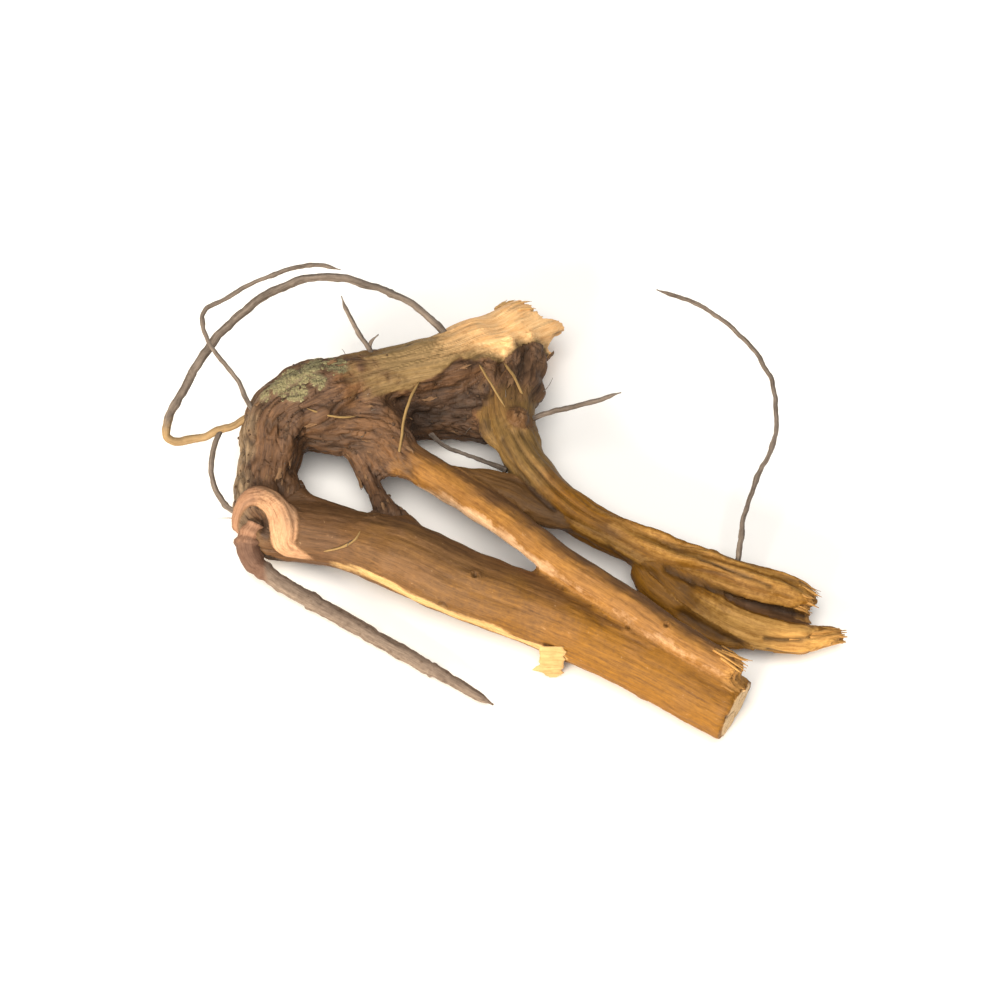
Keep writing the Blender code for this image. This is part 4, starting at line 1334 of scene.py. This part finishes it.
def thin_root():
    """The long thin root that leaves the scar, with the pinkish knob at its top."""
    piece = tube_piece("thin_root", wiry(THIN_ROOT_ROUTE, 0, True, 0.08), 24, 50)
    points, _ = read_points(piece.data)
    uneven = 0.4 * lumps(points, 1.0, 36)
    keep(piece.data, "knob", 1.0 - rise(points[:, 0] + uneven, -29.4, -28.2))
    keep(piece.data, "in_scar", rise(points @ PICTURE_UP + uneven, -2.0, -0.4))
    dress(piece, "thin_root_bark")


def rootlets():
    """The wiry rootlets. Only the thick loop's low stretch is tan."""
    for number, (name, route) in enumerate(ROOTLET_ROUTES.items()):
        piece = tube_piece(name, wiry(route, number + 1, name in FREE_TIPS), 12, 51 + number)
        height = read_points(piece.data)[0][:, 2]
        tan = 1.0 - rise(height, 8.2, 10.0) if name == "loop_rootlet" else np.zeros(len(height))
        keep(piece.data, "tan", tan)
        dress(piece, "wiry_rootlet_bark")


# Frayed ends: the root, whether it is its first end, the turns between which fibres grow, how many, how far
# back they start, how far they stand out, their radius, how much they splay, and the seed.
FRAYED = {
    "stub_fibres": ("main", True, (-180.0, 180.0), 46, 2.6, 1.1, 0.17, 0.03, 71),
    "lower_side_fibres": ("lower_side", False, (-130.0, -10.0), 16, 3.5, 1.3, 0.16, 0.14, 72),
    "upper_prong_fibres": ("upper_side", False, (-100.0, 120.0), 18, 4.5, 0.8, 0.17, 0.04, 73),
    "fork_fibres": ("fork", False, (-100.0, 110.0), 38, 8.0, 0.7, 0.24, 0.10, 74),
}


def frayed_ends():
    """The fibres at the broken and torn ends: pale at the stub, and golden on the side roots."""
    for name, row in FRAYED.items():
        dress(frayed_end(name, *row), "pale_split_wood" if row[0] == "main" else "golden_torn_wood")


# How high a loose strip's middle stands off the root, in mm.
STRIP_LIFT = 0.35
# Loose strips, as the photograph's pixels that each runs along, and its radius in mm.
LOOSE_STRIPS = {
    "hollow_strip": ([(326, 534), (323, 540), (321, 547), (320, 554), (319, 561)], 0.20),
    "stub_strip_1": ([(356, 526.5), (360, 532.5), (363.5, 540)], 0.20),
    "stub_strip_2": ([(347, 527), (352, 535.5), (356.5, 543)], 0.17),
    "bend_strip": ([(287, 544), (293, 546), (299, 547), (304, 546.5)], 0.15),
    "main_root_strip": ([(293, 594), (300, 592.4), (304.5, 590), (307.5, 585.5)], 0.15),
}


def loose_strips(surface):
    """Strips of bast that came loose from the crown and the main root."""
    for number, (name, (pixels, radius)) in enumerate(LOOSE_STRIPS.items()):
        dress(laid_strip(name, surface, pixels, radius, 20 + number), "loose_bast")


# The flap's edges, as the photograph's pixels: how far down, then its left and its right.
FLAP_ROWS = [
    (625.6, 368.4, 376.0), (627.2, 367.9, 376.9), (628.8, 368.3, 376.4), (630.3, 368.0, 376.9),
    (631.8, 368.5, 376.2), (633.0, 366.8, 376.5), (634.2, 365.6, 375.8), (635.2, 369.6, 376.2),
    (636.2, 370.2, 375.4), (636.9, 371.8, 374.6),
]
# The steps down the flap and across it, and its thickness in mm.
FLAP_STEPS = 34
FLAP_COLUMNS = 9
FLAP_THICKNESS = 0.22


def flap_pixels():
    """The flap's grid of points, as the photograph's pixels, with frayed sides."""
    down, left, right = between(FLAP_ROWS, np.linspace(0.0, len(FLAP_ROWS) - 1.0, FLAP_STEPS))
    line = np.stack([down, 0.0 * down, 0.0 * down], axis=1)
    left = left + 0.7 * lumps(line, 1.3, 45) + 0.3 * lumps(line, 0.5, 46)
    right = right + 0.9 * lumps(line, 1.5, 47) + 0.4 * lumps(line, 0.6, 48)
    across = np.linspace(0.0, 1.0, FLAP_COLUMNS)
    return np.stack([left[:, None] + (right - left)[:, None] * across, down[:, None] + 0.0 * across], axis=2)


def torn_flap(surface):
    """A torn flap of wood that hangs from the main root's lower edge, squared, with a point at its left."""
    pixels = flap_pixels()
    across = np.linspace(0.0, 1.0, FLAP_COLUMNS)
    share = np.linspace(0.0, 1.0, FLAP_STEPS)[:, None] * np.ones(FLAP_COLUMNS)
    seen = np.array([seen_at(surface, pixel) for pixel in pixels.reshape(-1, 2)])
    seen = (seen @ TO_CAMERA).reshape(share.shape)
    sideways, upward = in_picture(pixels[..., 0], pixels[..., 1])
    held = seen[0].max()
    on_table = (0.35 - PICTURE_UP[2] * upward[-1, 0]) / TO_CAMERA[2]
    depth = held + (on_table - held) * share ** 0.8 + 0.25 * np.sin(pi * share) - 0.3 * (across - 0.5) ** 2
    depth += (np.maximum(depth, seen + 0.3) - depth) * (1.0 - rise(share, 0.25, 0.75))
    top = sideways[..., None] * PICTURE_RIGHT + upward[..., None] * PICTURE_UP + depth[..., None] * TO_CAMERA
    top = top.reshape(-1, 3)
    top += 0.14 * lumps(top, (0.5, 2.0, 2.0), 44)[:, None] * TO_CAMERA
    points, faces = solid_plate(top, top - FLAP_THICKNESS * TO_CAMERA, FLAP_COLUMNS)
    grain = np.column_stack([top @ PICTURE_RIGHT, top @ PICTURE_UP, np.zeros(len(top))])
    dress(piece_of("torn_flap", [(points, faces, np.concatenate([grain, grain]))]), "pale_split_wood")


def crusts_and_hairs(skin, shares, body):
    """Bark scales, soil crumbs and lichen on the crown, and fine hairs on all of the root."""
    rng = np.random.default_rng(5)
    points, normals = read_points(body.data)
    old = shares["old_bark"]
    # Bark clear of soil and of painted shade.
    clean_and_unshaded = 1.0 - shares["soil_and_shade"]
    # How many of each there are, where they lie, their material, and one's shape.
    strewn = {
        "bark_scales": (
            80, old * clean_and_unshaded * (1.0 - shares["lichen"]), "loose_bark_scale",
            lambda at: bark_scale(rng, points[at], normals[at], skin.along[at]),
        ),
        "soil_crumbs": (
            240, (shares["soil_and_shade"] + 0.3 * old) * (0.2 + shares["furrow"]), "dried_soil",
            lambda at: clod(rng, points[at], normals[at], (0.07, 0.24), 0.8),
        ),
        "lichen_lobes": (
            760, shares["lichen"] ** 2, "crusted_lichen",
            lambda at: clod(rng, points[at], normals[at], (0.06, 0.22), 0.22),
        ),
        "fine_hairs": (
            46, 0.03 + old * clean_and_unshaded, "wiry_rootlet_bark",
            lambda at: fine_hair(rng, points[at], normals[at]),
        ),
    }
    for name, (count, share, material, shape) in strewn.items():
        numbers = rng.choice(len(share), count, replace=False, p=share / share.sum())
        dress(piece_of(name, [shape(number) for number in numbers]), material)


table()
studio()
camera()

body = grown_together()
skin, shares = bark_and_wood(body)
dress(body, "dried_root_bark")
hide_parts("root")

thin_root()
rootlets()
frayed_ends()
loose_strips(skin.surface)
torn_flap(skin.surface)
crusts_and_hairs(skin, shares, body)
with_modifier(body, "DECIMATE", ratio=BODY_KEPT)
